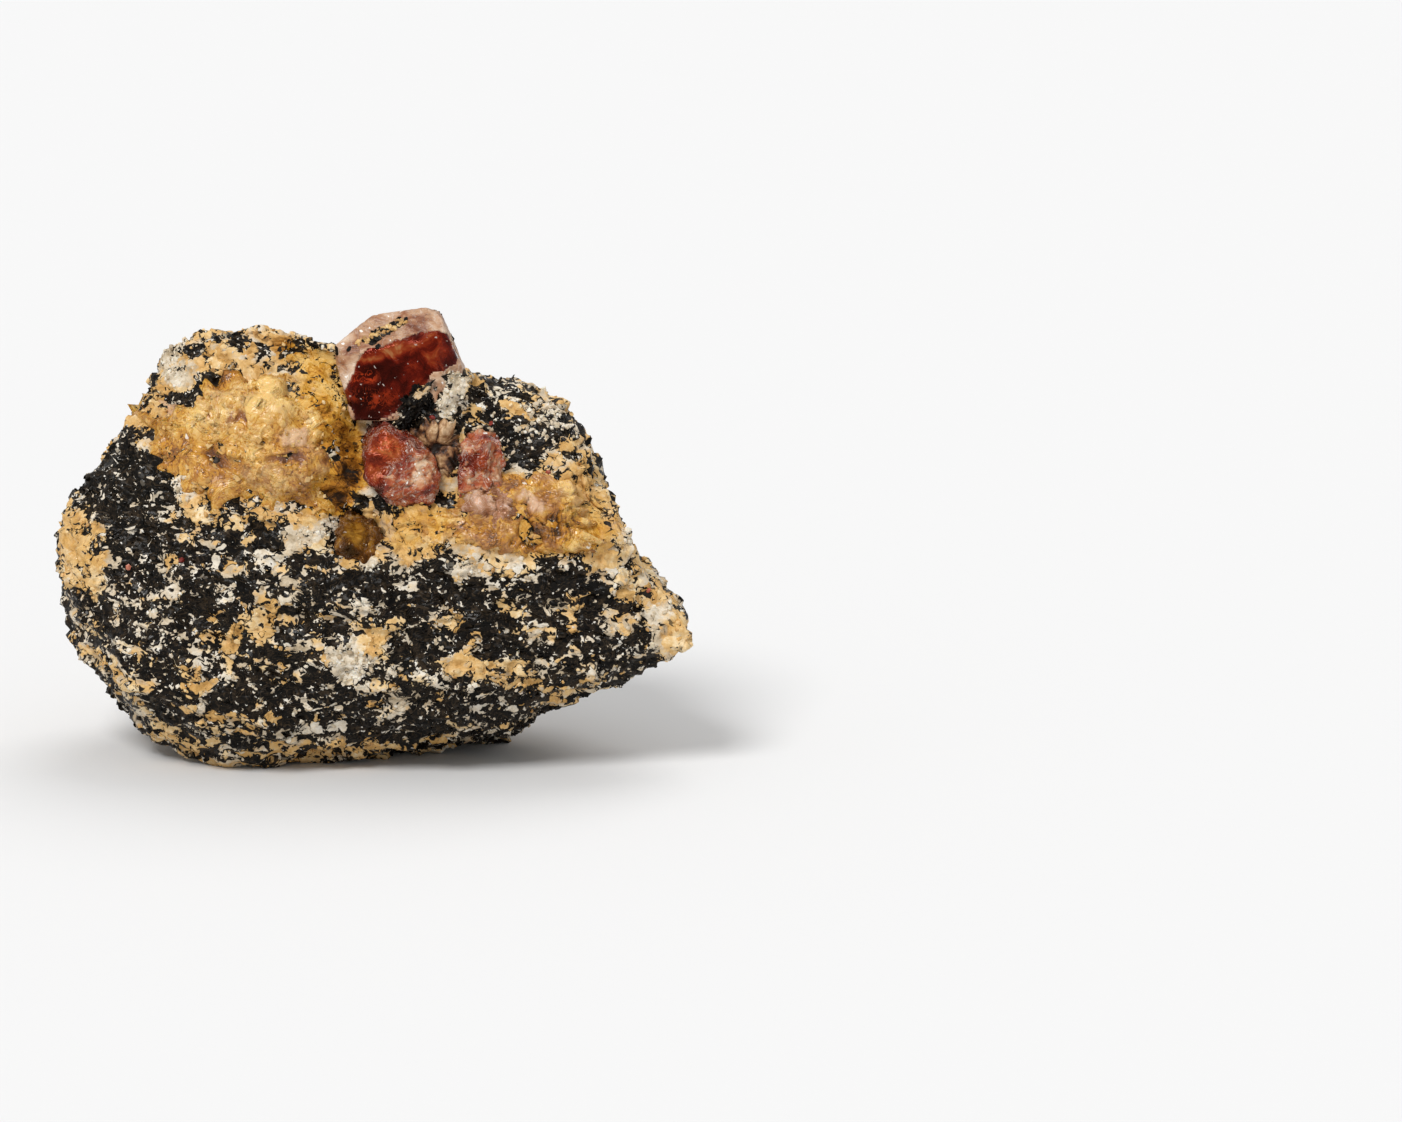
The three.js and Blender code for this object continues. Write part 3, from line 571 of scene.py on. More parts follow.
def outsideBy(u, v, outline):
    # How far each place lies outside a closed outline, negative inside: the nearest point of each straight stretch,
    # and a sign from how many stretches a level line to the right crosses.
    corner = np.array(outline, dtype=float)
    following = np.roll(corner, -1, axis=0)
    along = following - corner
    du, dv = u[:, None] - corner[:, 0], v[:, None] - corner[:, 1]
    share = np.clip((du * along[:, 0] + dv * along[:, 1]) / (along**2).sum(1), 0, 1)
    away = np.hypot(du - share * along[:, 0], dv - share * along[:, 1]).min(1)
    straddles = (corner[:, 1] > v[:, None]) != (following[:, 1] > v[:, None])
    crossing = corner[:, 0] + dv * along[:, 0] / np.where(along[:, 1] == 0, 1e-9, along[:, 1])
    inside = (straddles & (u[:, None] < crossing)).sum(1) % 2
    return np.where(inside, -away, away)


crystalSkin = {
    "wander": (0.35, 1.7),  # how far the patches' edges wander, and over what length
    "pitSize": 2.6,
    "grain": (0.8, 1.3),  # height as a share of the etching, and size
    "stripeAcross": (0.35, 0.9, 0.25),
    "stripeStep": 0.55,
}


def crystalSurface(crystal, cells):
    # Along each direction from the middle, one over the distance is the sharpness-norm of (cosine / face distance),
    # so that edges are slightly rounded; then etched bumps and fine stripes are added along the direction.
    directions, faces = boxSphere(cells)
    out, far = faceRows(crystal)
    power = crystal["sharpness"]
    ratios = np.clip(directions @ out.T, 0, None) / far
    peak = ratios.max(1, keepdims=True)
    shares = (ratios / peak) ** power
    total = shares.sum(1, keepdims=True)
    distance = 1 / (peak * total ** (1 / power))
    distance = distance * (1 + crystal.get("wobble", 0) * layered(directions, 0.9, 77, 3, 0.6))[:, None]
    points = np.array(crystal["middle"]) + directions * distance
    frost = (shares / total) @ np.array(crystal["frost"])
    (wander, wave), (grainShare, grainSize) = crystalSkin["wander"], crystalSkin["grain"]
    shaken = points + wander * shakes(points, wave, 610)
    patches = patchesAt(shaken, crystal)
    if "glossy" in crystal:
        beyond = outsideBy(shaken[:, 0], seenHeight(shaken, 1), crystal["glossy"])
        ahead = easeStep(-shaken[:, 1], 2, 4)
        inside = ahead * (1 - easeStep(beyond, -0.2, 0.35))
        frost = frost * (1 - 0.8 * inside) + 0.7 * ahead - 0.75 * inside
    frost = frost + patches[0]
    pits = np.abs(layered(points, crystalSkin["pitSize"], 71, 3, 0.6)) - 0.3
    across = (points @ np.array(crystalSkin["stripeAcross"])) / crystalSkin["stripeStep"]
    stripe = np.abs((across + 0.3 * smoothNoise(points, 3, 5)) % 1 - 0.5) - 0.25
    lift = -crystal["etch"] * pits * (0.25 + np.clip(frost, 0, 1.2))
    lift = lift + crystal["stripes"] * stripe * easeStep(frost, 0.3, 0.7)
    lift = lift + crystal["etch"] * grainShare * np.clip(frost, 0.15, 1) * grainCells(points, grainSize, 14)[2]
    values = {"frost": frost, "glow": patches[1], "innerGlint": np.clip(patches[2], 0, 1)}
    return points + directions * lift[:, None], faces, values


def pocketDepth(points, crystal, sink):
    # Where the ray from the lump's middle to each point enters a crystal that it leaves beyond the point: the share
    # of the way at which the rock stops under it; 1 where the crystal is not met.
    out, far = faceRows(crystal)
    far = far - sink
    start = (centre - np.array(crystal["middle"])) @ out.T
    run = (points - centre) @ out.T
    share = (far - start) / np.where(np.abs(run) < 1e-9, 1e-9, run)
    enter = np.where(run < 0, share, -np.inf).max(1)
    leave = np.where(run > 0, share, np.inf).min(1)
    met = (enter < leave) & (enter < 1) & (leave > 0.985) & (enter > 0.1)
    return np.where(met, enter, 1.0)


# ---- node tools
def feed(tree, node, **sockets):
    # Fills inputs by name or, as i0, i1 and so on, by number: each gets a plain value or another node's output.
    for key, value in sockets.items():
        numbered = key[0] == "i" and key[1:].isdigit()
        socket = node.inputs[int(key[1:]) if numbered else key.replace("_", " ")]
        if isinstance(value, bpy.types.NodeSocket):
            tree.links.new(value, socket)
        else:
            socket.default_value = value
    return node


def addNode(tree, kind, settings=None, **sockets):
    node = tree.nodes.new("ShaderNode" + kind)
    for key, value in (settings or {}).items():
        setattr(node, key, value)
    return feed(tree, node, **sockets)


def mathNode(tree, operation, *values):
    numbered = {f"i{k}": value for k, value in enumerate(values)}
    return addNode(tree, "Math", {"operation": operation}, **numbered).outputs[0]


def addUp(tree, total, *terms):
    # total plus each term, a value times a weight: one multiply-add node after another.
    for value, weight in terms:
        total = mathNode(tree, "MULTIPLY_ADD", value, weight, total)
    return total


def times(tree, first, second):
    return mathNode(tree, "MULTIPLY", first, second)


def less(tree, first, second):
    return mathNode(tree, "SUBTRACT", first, second)


def vectorNode(tree, operation, *values, **sockets):
    numbered = {f"i{k}": value for k, value in enumerate(values)}
    node = addNode(tree, "VectorMath", {"operation": operation}, **numbered, **sockets)
    return node.outputs["Value" if operation == "DOT_PRODUCT" else "Vector"]


def mixColours(tree, share, first, second):
    return addNode(tree, "Mix", {"data_type": "RGBA"}, i0=share, i6=first, i7=second).outputs[2]


def rangeNode(tree, value, low, high, newLow=0.0, newHigh=1.0, kind="LINEAR"):
    # newLow at low, newHigh at high, straight or eased between them and level beyond them.
    return addNode(
        tree, "MapRange", {"interpolation_type": kind}, Value=value, From_Min=low, From_Max=high, To_Min=newLow,
        To_Max=newHigh,
    ).outputs[0]


def rampNode(tree, share, stops):
    node = addNode(tree, "ValToRGB", Fac=share)
    ramp = node.color_ramp
    while len(ramp.elements) < len(stops):
        ramp.elements.new(0.5)
    for element, (place, colour) in zip(ramp.elements, stops):
        element.position = place
        element.color = (*colour, 1)
    return node.outputs[0]


def noiseNode(tree, vector, wavelength, detail, roughness, distortion):
    # Every noise in a dictionary below is these last four values, its wavelength in millimetres.
    return addNode(
        tree, "TexNoise", Vector=vector, Scale=1 / (wavelength * mm), Detail=detail, Roughness=roughness,
        Distortion=distortion,
    ).outputs[0]


def bumpNode(tree, height, depth):
    return addNode(tree, "Bump", Height=height, Distance=depth * mm).outputs[0]


def pointValue(tree, key):
    return addNode(tree, "Attribute", {"attribute_name": key}).outputs["Fac"]


def stretched(tree, place, turns, scales):
    return addNode(tree, "Mapping", {"vector_type": "POINT"}, Vector=place, Rotation=turns, Scale=scales).outputs[0]


def newMaterial(name):
    # A material's own tree with a Principled shader in it, and the object coordinates that patterns read.
    material = bpy.data.materials.new(name)
    material.use_nodes = True
    tree = material.node_tree
    tree.nodes.clear()
    shader, output = addNode(tree, "BsdfPrincipled"), addNode(tree, "OutputMaterial")
    tree.links.new(shader.outputs[0], output.inputs["Surface"])
    return material, tree, shader, addNode(tree, "TexCoord").outputs["Object"]


def finish(tree, shader, values, colour, height, cloud=None):
    # The sockets that the stony minerals share. Roughness runs from its first value to its second as the cloud goes
    # from 0.3 to 0.7; scatter is a weight, a scale in millimetres and a radius for each colour.
    feed(tree, shader, Base_Color=colour, Normal=bumpNode(tree, height, values["bump"]))
    feed(tree, shader, IOR=values["ior"], Specular_IOR_Level=values["shine"])
    if cloud is not None:
        feed(tree, shader, Roughness=rangeNode(tree, cloud, 0.3, 0.7, *values["roughness"]))
    if "scatter" in values:
        weight, scale, radius = values["scatter"]
        feed(tree, shader, Subsurface_Weight=weight, Subsurface_Scale=scale * mm, Subsurface_Radius=radius)


def makeEffect(name, build, **given):
    # A shader node group: its inputs are Place and the numbers given, its outputs what build returns under each name.
    group = bpy.data.node_groups.new(name, "ShaderNodeTree")
    group.interface.new_socket("Place", in_out="INPUT", socket_type="NodeSocketVector")
    for title, value in given.items():
        group.interface.new_socket(title, in_out="INPUT", socket_type="NodeSocketFloat").default_value = value
    source = group.nodes.new("NodeGroupInput")
    results = build(group, *(source.outputs[title] for title in ("Place", *given)))
    for title, value in results.items():
        kind = "NodeSocketColor" if value.type == "RGBA" else "NodeSocketFloat"
        group.interface.new_socket(title, in_out="OUTPUT", socket_type=kind)
    feed(group, group.nodes.new("NodeGroupOutput"), **results)
    return group


def placeEffect(tree, group, place, **sockets):
    return addNode(tree, "Group", {"node_tree": group}, Place=place, **sockets).outputs


# ---- effects shared by several minerals
def facetEffect(group, place, size):
    # Broken grains: around each random seed point a plane with its own slope, as a height in millimetres, and a tone
    # for each grain.
    scale = mathNode(group, "DIVIDE", 1 / mm, size)
    cells = addNode(group, "TexVoronoi", Vector=place, Scale=scale).outputs
    offset = vectorNode(group, "SUBTRACT", place, cells["Position"])
    slope = vectorNode(group, "SUBTRACT", cells["Color"], (0.5, 0.5, 0.5))
    height = times(group, vectorNode(group, "DOT_PRODUCT", offset, slope), 1 / mm)
    return {"Height": height, "Tone": addNode(group, "SeparateColor", Color=cells["Color"]).outputs[0]}


def mosaicEffect(group, place, size, ragged):
    # A mosaic of grains with ragged outlines: three random lots for each grain, and how near the point is to its
    # edge. The place is first shaken by a finer noise, by up to two times ragged times size.
    scale = mathNode(group, "DIVIDE", 1 / mm, size)
    shake = addNode(
        group, "TexNoise", Vector=place, Scale=times(group, scale, 1.7), Detail=2.0, Roughness=0.55
    ).outputs["Color"]
    shake = vectorNode(group, "SUBTRACT", shake, (0.5, 0.5, 0.5))
    shake = vectorNode(group, "SCALE", shake, Scale=times(group, times(group, ragged, size), 4 * mm))
    place = vectorNode(group, "ADD", place, shake)
    cells = addNode(group, "TexVoronoi", Vector=place, Scale=scale).outputs
    edge = addNode(group, "TexVoronoi", {"feature": "DISTANCE_TO_EDGE"}, Vector=place, Scale=scale).outputs
    return {"Lots": cells["Color"], "Edge": edge["Distance"]}


def curlEffect(group, place, size, steps):
    # Curling growth lines: a distorted noise cut into even steps, thin where a step ends; the noise comes out too.
    scale = mathNode(group, "DIVIDE", 1 / mm, size)
    cloud = addNode(
        group, "TexNoise", Vector=place, Scale=scale, Detail=3.0, Roughness=0.55, Distortion=1.1
    ).outputs[0]
    step = mathNode(group, "FRACT", times(group, cloud, steps))
    fromMiddle = mathNode(group, "ABSOLUTE", less(group, step, 0.5))
    return {"Lines": rangeNode(group, fromMiddle, 0.02, 0.16, 1.0, 0.0), "Cloud": cloud}


def speckEffect(group, place, size, bar):
    # Small sharp specks: where a fine noise passes a bar.
    scale = mathNode(group, "DIVIDE", 1 / mm, size)
    fine = addNode(group, "TexNoise", Vector=place, Scale=scale, Detail=2.0, Roughness=0.5, Distortion=0.3).outputs[0]
    return {"Mask": rangeNode(group, less(group, fine, bar), 0.0, 0.03)}


crystalFacets = makeEffect("crystalFacets", facetEffect, Size=1.0)
grainMosaic = makeEffect("grainMosaic", mosaicEffect, Size=1.0, Ragged=0.3)
growthCurls = makeEffect("growthCurls", curlEffect, Size=1.0, Steps=6.0)
sharpSpecks = makeEffect("sharpSpecks", speckEffect, Size=1.0, Bar=0.65)
honey = {
    "tones": [
        (0.0, (0.02, 0.008, 0.002)), (0.16, (0.1, 0.036, 0.005)), (0.32, (0.25, 0.092, 0.01)),
        (0.52, (0.46, 0.19, 0.02)), (0.74, (0.63, 0.32, 0.042)), (1.0, (0.79, 0.52, 0.18)),
    ],
    "cloud": (4.2, 3.0, 0.55, 0.4),
    "growth": {"Size": 2.8, "Steps": 9.0},
    "fineGrowth": {"Size": 1.0, "Steps": 5.0},
    "pits": {"Size": 0.6, "Bar": 0.66},
    "facets": {"Size": 0.7},
}


def honeyEffect(group, place, lift):
    # Honey calcite: a broad cloud, curling growth lines of two sizes and small pits pick the colour along a ramp.
    cloud = noiseNode(group, place, *honey["cloud"])
    large = placeEffect(group, growthCurls, place, **honey["growth"])
    small = placeEffect(group, growthCurls, place, **honey["fineGrowth"])
    pits = placeEffect(group, sharpSpecks, place, **honey["pits"])
    facets = placeEffect(group, crystalFacets, place, **honey["facets"])
    tone = addUp(group, -0.66, (large["Cloud"], 0.9), (cloud, 1.5))
    tone = addUp(group, less(group, tone, 0.18), (small["Cloud"], 0.5))
    tone = addUp(
        group, mathNode(group, "ADD", tone, lift), (large["Lines"], -0.24), (small["Lines"], 0.18),
        (pits["Mask"], -0.35), (facets["Tone"], 0.05),
    )
    height = addUp(
        group, times(group, large["Lines"], -0.05), (large["Cloud"], 0.45), (small["Cloud"], 0.08),
        (facets["Height"], 0.1),
    )
    return {"Colour": rampNode(group, tone, honey["tones"]), "Height": height}


honeyGrowth = makeEffect("honeyGrowth", honeyEffect, Lift=0.0)

# ---- gneiss
gneiss = {
    "black": [
        (0.0, (0.002, 0.0016, 0.0012)), (0.5, (0.006, 0.0045, 0.003)), (0.75, (0.024, 0.016, 0.009)),
        (1.0, (0.075, 0.05, 0.028)),
    ],
    "cream": [
        (0.0, (0.24, 0.17, 0.1)), (0.25, (0.48, 0.38, 0.25)), (0.5, (0.66, 0.55, 0.4)), (0.75, (0.78, 0.7, 0.57)),
        (1.0, (0.88, 0.84, 0.76)),
    ],
    "ochre": [
        (0.0, (0.22, 0.1, 0.025)), (0.25, (0.48, 0.26, 0.075)), (0.5, (0.67, 0.4, 0.14)), (0.8, (0.78, 0.55, 0.27)),
        (1.0, (0.87, 0.72, 0.48)),
    ],
    "hairColour": (0.09, 0.06, 0.033, 1),
    "dustAndGlintColour": (0.8, 0.76, 0.68, 1),
    "holeColour": (0.02, 0.016, 0.012, 1),
    "outlineColour": (0.04, 0.027, 0.016, 1),
    "squash": (0.92, 1, 1.15),  # along the bands, through them and across them
    "wanderWave": 2.0,
    "wander": 2.5,
    "chips": {"Size": 1.6, "Ragged": 0.32},
    "crumbs": {"Size": 0.62, "Ragged": 0.25},
    "facets": {"Size": 0.5},
    "hairs": {"Size": 1.7, "Steps": 7.0},
    "dustAndGlints": {"Size": 0.42, "Bar": 0.69},
    "patches": (1.6, 3.0, 0.55, 0.5),
    "tones": (1.3, 4.0, 0.65, 0.3),
    "bump": 0.6,
    "ior": 1.55,
    "shine": 0.1,
}


def makeGneiss():
    material, tree, shader, place = newMaterial("biotiteGneiss")
    banded = stretched(tree, place, (0, -dip, 0), gneiss["squash"])
    wander = addNode(
        tree, "TexNoise", Vector=place, Scale=1 / (gneiss["wanderWave"] * mm), Detail=2.0, Roughness=0.6
    ).outputs["Color"]
    wander = vectorNode(tree, "MULTIPLY_ADD", wander, (gneiss["wander"] * mm,) * 3, banded)
    darkness, ochreness, honeyness = (pointValue(tree, key) for key in ("dark", "ochre", "honey"))
    chips = placeEffect(tree, grainMosaic, wander, **gneiss["chips"])
    crumbs = placeEffect(tree, grainMosaic, wander, **gneiss["crumbs"])
    chipLots = addNode(tree, "SeparateColor", Color=chips["Lots"]).outputs
    crumbLots = addNode(tree, "SeparateColor", Color=crumbs["Lots"]).outputs
    patches = noiseNode(tree, wander, *gneiss["patches"])
    tones = noiseNode(tree, place, *gneiss["tones"])
    facets = placeEffect(tree, crystalFacets, place, **gneiss["facets"])
    hairs = placeEffect(tree, growthCurls, banded, **gneiss["hairs"])
    dustAndGlints = placeEffect(tree, sharpSpecks, place, **gneiss["dustAndGlints"])
    # how dark: the rock's own field, each chip's lot, noise, and a dark net between chips
    signal = addUp(tree, less(tree, darkness, 0.65), (chipLots[0], 1.3), (less(tree, patches, 0.5), 1.8))
    signal = mathNode(tree, "ADD", signal, rangeNode(tree, chips["Edge"], 0.02, 0.16, 0.42, 0.0))
    darkMask = rangeNode(tree, signal, -0.03, 0.03)
    ochreSignal = addUp(tree, less(tree, ochreness, 0.45), (chipLots[1], 0.9), (less(tree, tones, 0.5), 2.2))
    ochreMask = rangeNode(tree, ochreSignal, -0.2, 0.2)
    grainTone = addUp(tree, -0.32, (tones, 1.3), (chipLots[2], 0.42), (crumbLots[1], 0.16), (hairs["Lines"], -0.1))
    cream = rampNode(tree, grainTone, gneiss["cream"])
    pale = mixColours(tree, ochreMask, cream, rampNode(tree, grainTone, gneiss["ochre"]))
    # where honey calcite soaks the rock, it takes that growth's colours, with painted shade darkening the deep
    # hollows
    hollowShade = rangeNode(tree, honeyness, 1.0, 2.0, 0.1, -0.5)
    soaked = placeEffect(tree, honeyGrowth, place, Lift=hollowShade)
    pale = mixColours(tree, rangeNode(tree, honeyness, 0.2, 0.6), pale, soaked["Colour"])
    # pale crumbs, and pale specks that are partly painted glints, in the black; black specks in the pale, brown hair
    # lines in the black
    black = rampNode(tree, rangeNode(tree, tones, 0.32, 0.75), gneiss["black"])
    black = mixColours(tree, times(tree, hairs["Lines"], 0.4), black, gneiss["hairColour"])
    crumb = times(tree, rangeNode(tree, crumbLots[0], 0.83, 0.85), rangeNode(tree, crumbs["Edge"], 0.1, 0.16))
    black = mixColours(tree, crumb, black, cream)
    black = mixColours(tree, dustAndGlints["Mask"], black, gneiss["dustAndGlintColour"])
    hole = times(tree, rangeNode(tree, crumbLots[2], 0.87, 0.89), rangeNode(tree, crumbs["Edge"], 0.06, 0.12))
    pale = mixColours(tree, hole, pale, gneiss["holeColour"])
    colour = mixColours(tree, darkMask, pale, black)
    outline = rangeNode(tree, mathNode(tree, "ABSOLUTE", signal), 0.01, 0.07, 0.4, 0.0)
    colour = mixColours(tree, outline, colour, gneiss["outlineColour"])
    raised = rangeNode(tree, signal, -0.25, 0.25, 1.0, 0.0, "SMOOTHSTEP")
    height = addUp(tree, times(tree, facets["Height"], 0.5), (raised, 0.16), (tones, 0.15))
    rough = addUp(tree, rangeNode(tree, darkMask, 0, 1, 0.32, 0.16), (facets["Tone"], 0.25))
    finish(tree, shader, gneiss, colour, height)
    feed(tree, shader, Roughness=rough)
    return material


gneissMaterial = makeGneiss()


rockGrain = {
    "squash": 1.2,
    "paleLift": 0.14,
    # height and size in mm of the large and small grains' flat faces, of the splinters and of the finest grain
    "large": (0.27, 2.3),
    "small": (0.1, 1.1),
    "splinters": (0.24, 2.4),
    "finest": (0.04, 1.1),
    "sink": 0.1,
    "pocketSink": 0.2,
}


def makeRock():
    # The skin with its grains: pale parts stand proud of dark ones, each grain ends in its own flat face and folded
    # noise cuts splinters along the bands; then the crystals' pockets are sunk towards the lump's middle.
    directions, faces = boxSphere(rock["cells"])
    base = skinAlong(directions)
    dark, ochre, soaked = mineralFields(base)
    outwards = cornerNormals(base, faces)
    pale = easeStep(-dark, -0.2, 0.2)
    flat = base + acrossBands * ((base @ acrossBands) * rockGrain["squash"])[:, None]
    (high, large), (low, small) = rockGrain["large"], rockGrain["small"]
    (cut, splinter), (slight, finest) = rockGrain["splinters"], rockGrain["finest"]
    lift = rockGrain["paleLift"] * (pale - 0.5)
    lift = lift + high * grainCells(flat, large, 3)[2] + low * grainCells(base, small, 4)[2]
    lift = lift - cut * (np.abs(layered(flat, splinter, 61, 3, 0.6)) - 0.2) + slight * layered(base, finest, 83, 2)
    lift = lift - rockGrain["sink"]
    points = base + outwards * lift[:, None]
    share = np.ones(len(points))
    for crystal in crystals.values():
        share = np.minimum(share, pocketDepth(points, crystal, rockGrain["pocketSink"]))
    points = centre + (points - centre) * share[:, None]
    points[:, 2] = np.maximum(points[:, 2], 0)
    return points, faces, {"dark": dark, "ochre": ochre, "honey": soaked}, share < 1


rockPoints, rockFaces, rockValues, inPocket = makeRock()
rockPiece = putMesh("gneissMatrix", rockPoints + shift, rockFaces, True, rockValues)
dress(rockPiece, gneissMaterial, "matrix_rock")
print("rock", len(rockFaces) * 2, "triangles")

# ---- calcite and feldspar masses in the skin of the lump, and small zircon and quartz ones
# side: -1 for the front, 1 for the back; centre, half-widths and turn as x, z; lift: how far it stands out; depth:
# how deep its inner sheet bulges; domes and relief: sizes and heights of its two grains; lobes: how uneven its
# outline is; notch: angle, spread and depth of a bay in the outline
masses = {
    "calciteYellow": {
        "node": "calcite_yellow", "slot": "calcite", "side": -1, "centre": (-12.4, 33.0), "half": (10.2, 6.9),
        "turn": -12, "lift": 0.3, "depth": 2.6, "rings": 96, "spokes": 300, "seed": 3, "domes": (4.2, 1.5),
        "relief": (0.35, 0.045), "lobes": 0.34, "notch": (137, 26, 0.24),
        # x, z, half-widths, turn, height, then how much brighter and how much rosier
        "lumps": [
            (-10.5, 36.8, 3.3, 2.4, -6, 1.0, 0.16, 0), (-12.7, 35.2, 1.0, 0.6, -20, -0.2, -0.3, 0.9),
            (-7.6, 33.7, 1.5, 1.0, 20, 0.3, 0.3, 1.0), (-10.7, 32.4, 3.0, 0.7, -6, -0.4, 0.1, 0),
            (-5.6, 31.2, 3.4, 1.5, -6, 0.5, -0.05, 0.3), (-17.6, 34.6, 2.8, 2.2, 15, 0.4, 0.08, 0),
            (-20.3, 35.4, 0.8, 0.8, 0, 0.1, 0.3, 1.0), (-14.2, 31.4, 2.8, 0.7, -12, -0.6, -0.2, 0.3),
            (-9.4, 29.4, 4, 1.2, -14, 0.5, -0.1, 0.4), (-5.0, 35.0, 1.3, 2.6, 0, 0.4, 0.1, 0),
            (-3.8, 32.6, 1.0, 1.8, 0, -0.6, -0.3, 0), (-15.4, 36.6, 1.8, 0.8, 10, 0.3, 0.0, 0.2),
            (-8.2, 31.2, 1.6, 0.5, 0, -0.5, -0.3, 0.5),
        ],
    },
    "calciteHoney": {
        "node": "calcite_honey", "slot": "calcite", "side": -1, "centre": (15.2, 26.0), "half": (8.6, 4.2),
        "turn": -8, "lift": 0.3, "depth": 2.2, "rings": 72, "spokes": 240, "seed": 9, "domes": (2.6, 1.1),
        "relief": (0.6, 0.14), "lobes": 0.34,
        "lumps": [
            (19.8, 28.0, 2.3, 2.5, 10, 0.8, 0.08, 0), (20.6, 24.3, 2.3, 1.2, 0, 0.6, 0.22, 0),
            (23.0, 24.4, 0.9, 0.9, 0, 0.2, 0.3, 0.7), (11.2, 24.0, 2.9, 1.2, -4, 0.6, -0.05, 0.3),
            (15.5, 24.6, 1.4, 1.3, 0, -1.0, -0.5, 0), (16.0, 27.6, 1.0, 0.8, 0, 0.2, 0.3, 0.9),
            (13.8, 26.6, 1.6, 0.9, -10, -0.4, -0.25, 0.4), (17.4, 30.4, 1.2, 1.6, 20, 0.5, 0.0, 0.4),
            (22.2, 27.2, 0.7, 2.2, 10, -0.5, -0.3, 0), (17.6, 25.6, 0.7, 1.6, 0, -0.6, -0.2, 0),
        ],
    },
    "feldsparBack": {
        "node": "feldspar_back", "slot": "feldspar", "side": 1, "centre": (-14.4, 36.0), "half": (4.3, 3.9),
        "lift": 0.55, "depth": 2.2, "rings": 44, "spokes": 150, "seed": 21, "domes": (3.4, 1.4),
        "relief": (0.45, 0.08), "lobes": 0.14,
    },
    "feldsparKnob": {
        "node": "feldspar_knob", "slot": "feldspar", "side": 1, "centre": (-26.0, 13.6), "half": (2.5, 3.4),
        "turn": 10, "lift": 0.6, "depth": 1.8, "rings": 36, "spokes": 130, "seed": 33, "domes": (2.8, 1.2),
        "relief": (0.4, 0.08), "lobes": 0.12,
    },
    "calciteRosette": {
        "slot": "calcite", "side": -1, "centre": (6.2, 33.0), "half": (3.1, 2.9),
        "lift": 0.5, "depth": 0.9, "rings": 40, "spokes": 220, "seed": 51, "domes": (2.6, 1.0),
        "relief": (0.2, 0.12), "lobes": 0.26, "petals": 9,
    },
    "zirconShoulder": {
        "slot": "zircon_dark", "side": 1, "centre": (2.9, 36.2), "half": (2.4, 2.5), "turn": 25,
        "lift": 0.5, "depth": 0.8, "rings": 36, "spokes": 130, "seed": 61, "domes": (2.2, 1.1),
        "relief": (0.5, 0.25), "lobes": 0.16,
    },
    "zirconFlank": {
        "slot": "zircon_dark", "side": 1, "centre": (10.6, 34.9), "half": (1.2, 1.8), "turn": 10,
        "lift": 0.2, "depth": 0.8, "rings": 32, "spokes": 110, "seed": 67, "domes": (2.2, 1.1),
        "relief": (0.4, 0.2), "lobes": 0.16,
    },
    "quartzRosy": {
        "slot": "quartz", "side": -1, "centre": (12.0, 27.9), "half": (2.7, 2.3), "turn": 10,
        "lift": 0.55, "depth": 0.8, "rings": 40, "spokes": 140, "seed": 57, "domes": (2.4, 1.0),
        "relief": (0.5, 0.25), "lobes": 0.35,
    },
}


def massOutline(mass, angle):
    # How far the mass reaches at each angle, about 1: lobes of three sizes, then petals and a notch if it has them.
    circle = np.stack([np.cos(angle), np.sin(angle), np.zeros_like(angle)], 1)
    seed = mass["seed"]
    sizes = enumerate(((1.6, 1), (4.2, 0.7), (11, 0.4)))
    lobes = sum(height * smoothNoise(circle * size, 1, seed + k) for k, (size, height) in sizes)
    outline = 1 + mass["lobes"] * lobes
    wobble = 0.9 * smoothNoise(circle * 2.2, 1, seed + 3)
    if "petals" in mass:
        outline = outline * (1 + 0.16 * (np.abs(np.sin(mass["petals"] / 2 * angle + 2 * wobble)) ** 0.5 - 0.7))
    if "notch" in mass:
        middle, spread, cut = mass["notch"]
        outline = outline * (1 - cut * np.exp(-(((np.degrees(angle) - middle) / spread) ** 2)))
    return outline, circle, wobble


def massRelief(mass, base, x, z, r, angle, circle, wobble):
    # Height of the outer sheet's grain: domes of two sizes around random seed points, each with a plane of its own,
    # the mass's own lumps with how bright and rosy they are, slits between petals, and folded noise.
    seed = mass["seed"]
    relief = np.zeros(len(base))
    for size, height, number in zip(mass["domes"], mass["relief"], (seed + 5, seed + 6)):
        shaken = base + 0.3 * size * shakes(base, 0.8 * size, seed + 40, 0.55)
        near, lot, plane = grainCells(shaken, size, number)
        relief += height * (np.sqrt(np.clip(1 - (near / size) ** 2, 0, 1)) - 0.6 + 0.5 * (lot - 0.5)) + 0.1 * plane
    bend = shakes(base, 2.2, seed + 60) * 0.7
    lumps = patchSum(x + bend[:, 0], z + bend[:, 1], mass.get("lumps", []), 3)
    relief += lumps[0]
    if "petals" in mass:
        shake = 0.3 * r * smoothNoise(circle * 3.1 + r[:, None], 1, seed + 4)
        petal = np.abs(np.sin(mass["petals"] / 2 * angle + 2 * wobble + shake))
        relief += 0.45 * easeStep(r, 0.1, 0.4) * (petal**0.3 - 0.86) - 0.3 * easeStep(0.4 - r, 0, 0.3)
    relief -= 0.35 * (np.abs(layered(base, 3.4, seed + 9, 2, 0.5)) - 0.25)
    return np.stack([relief, lumps[1], lumps[2]])


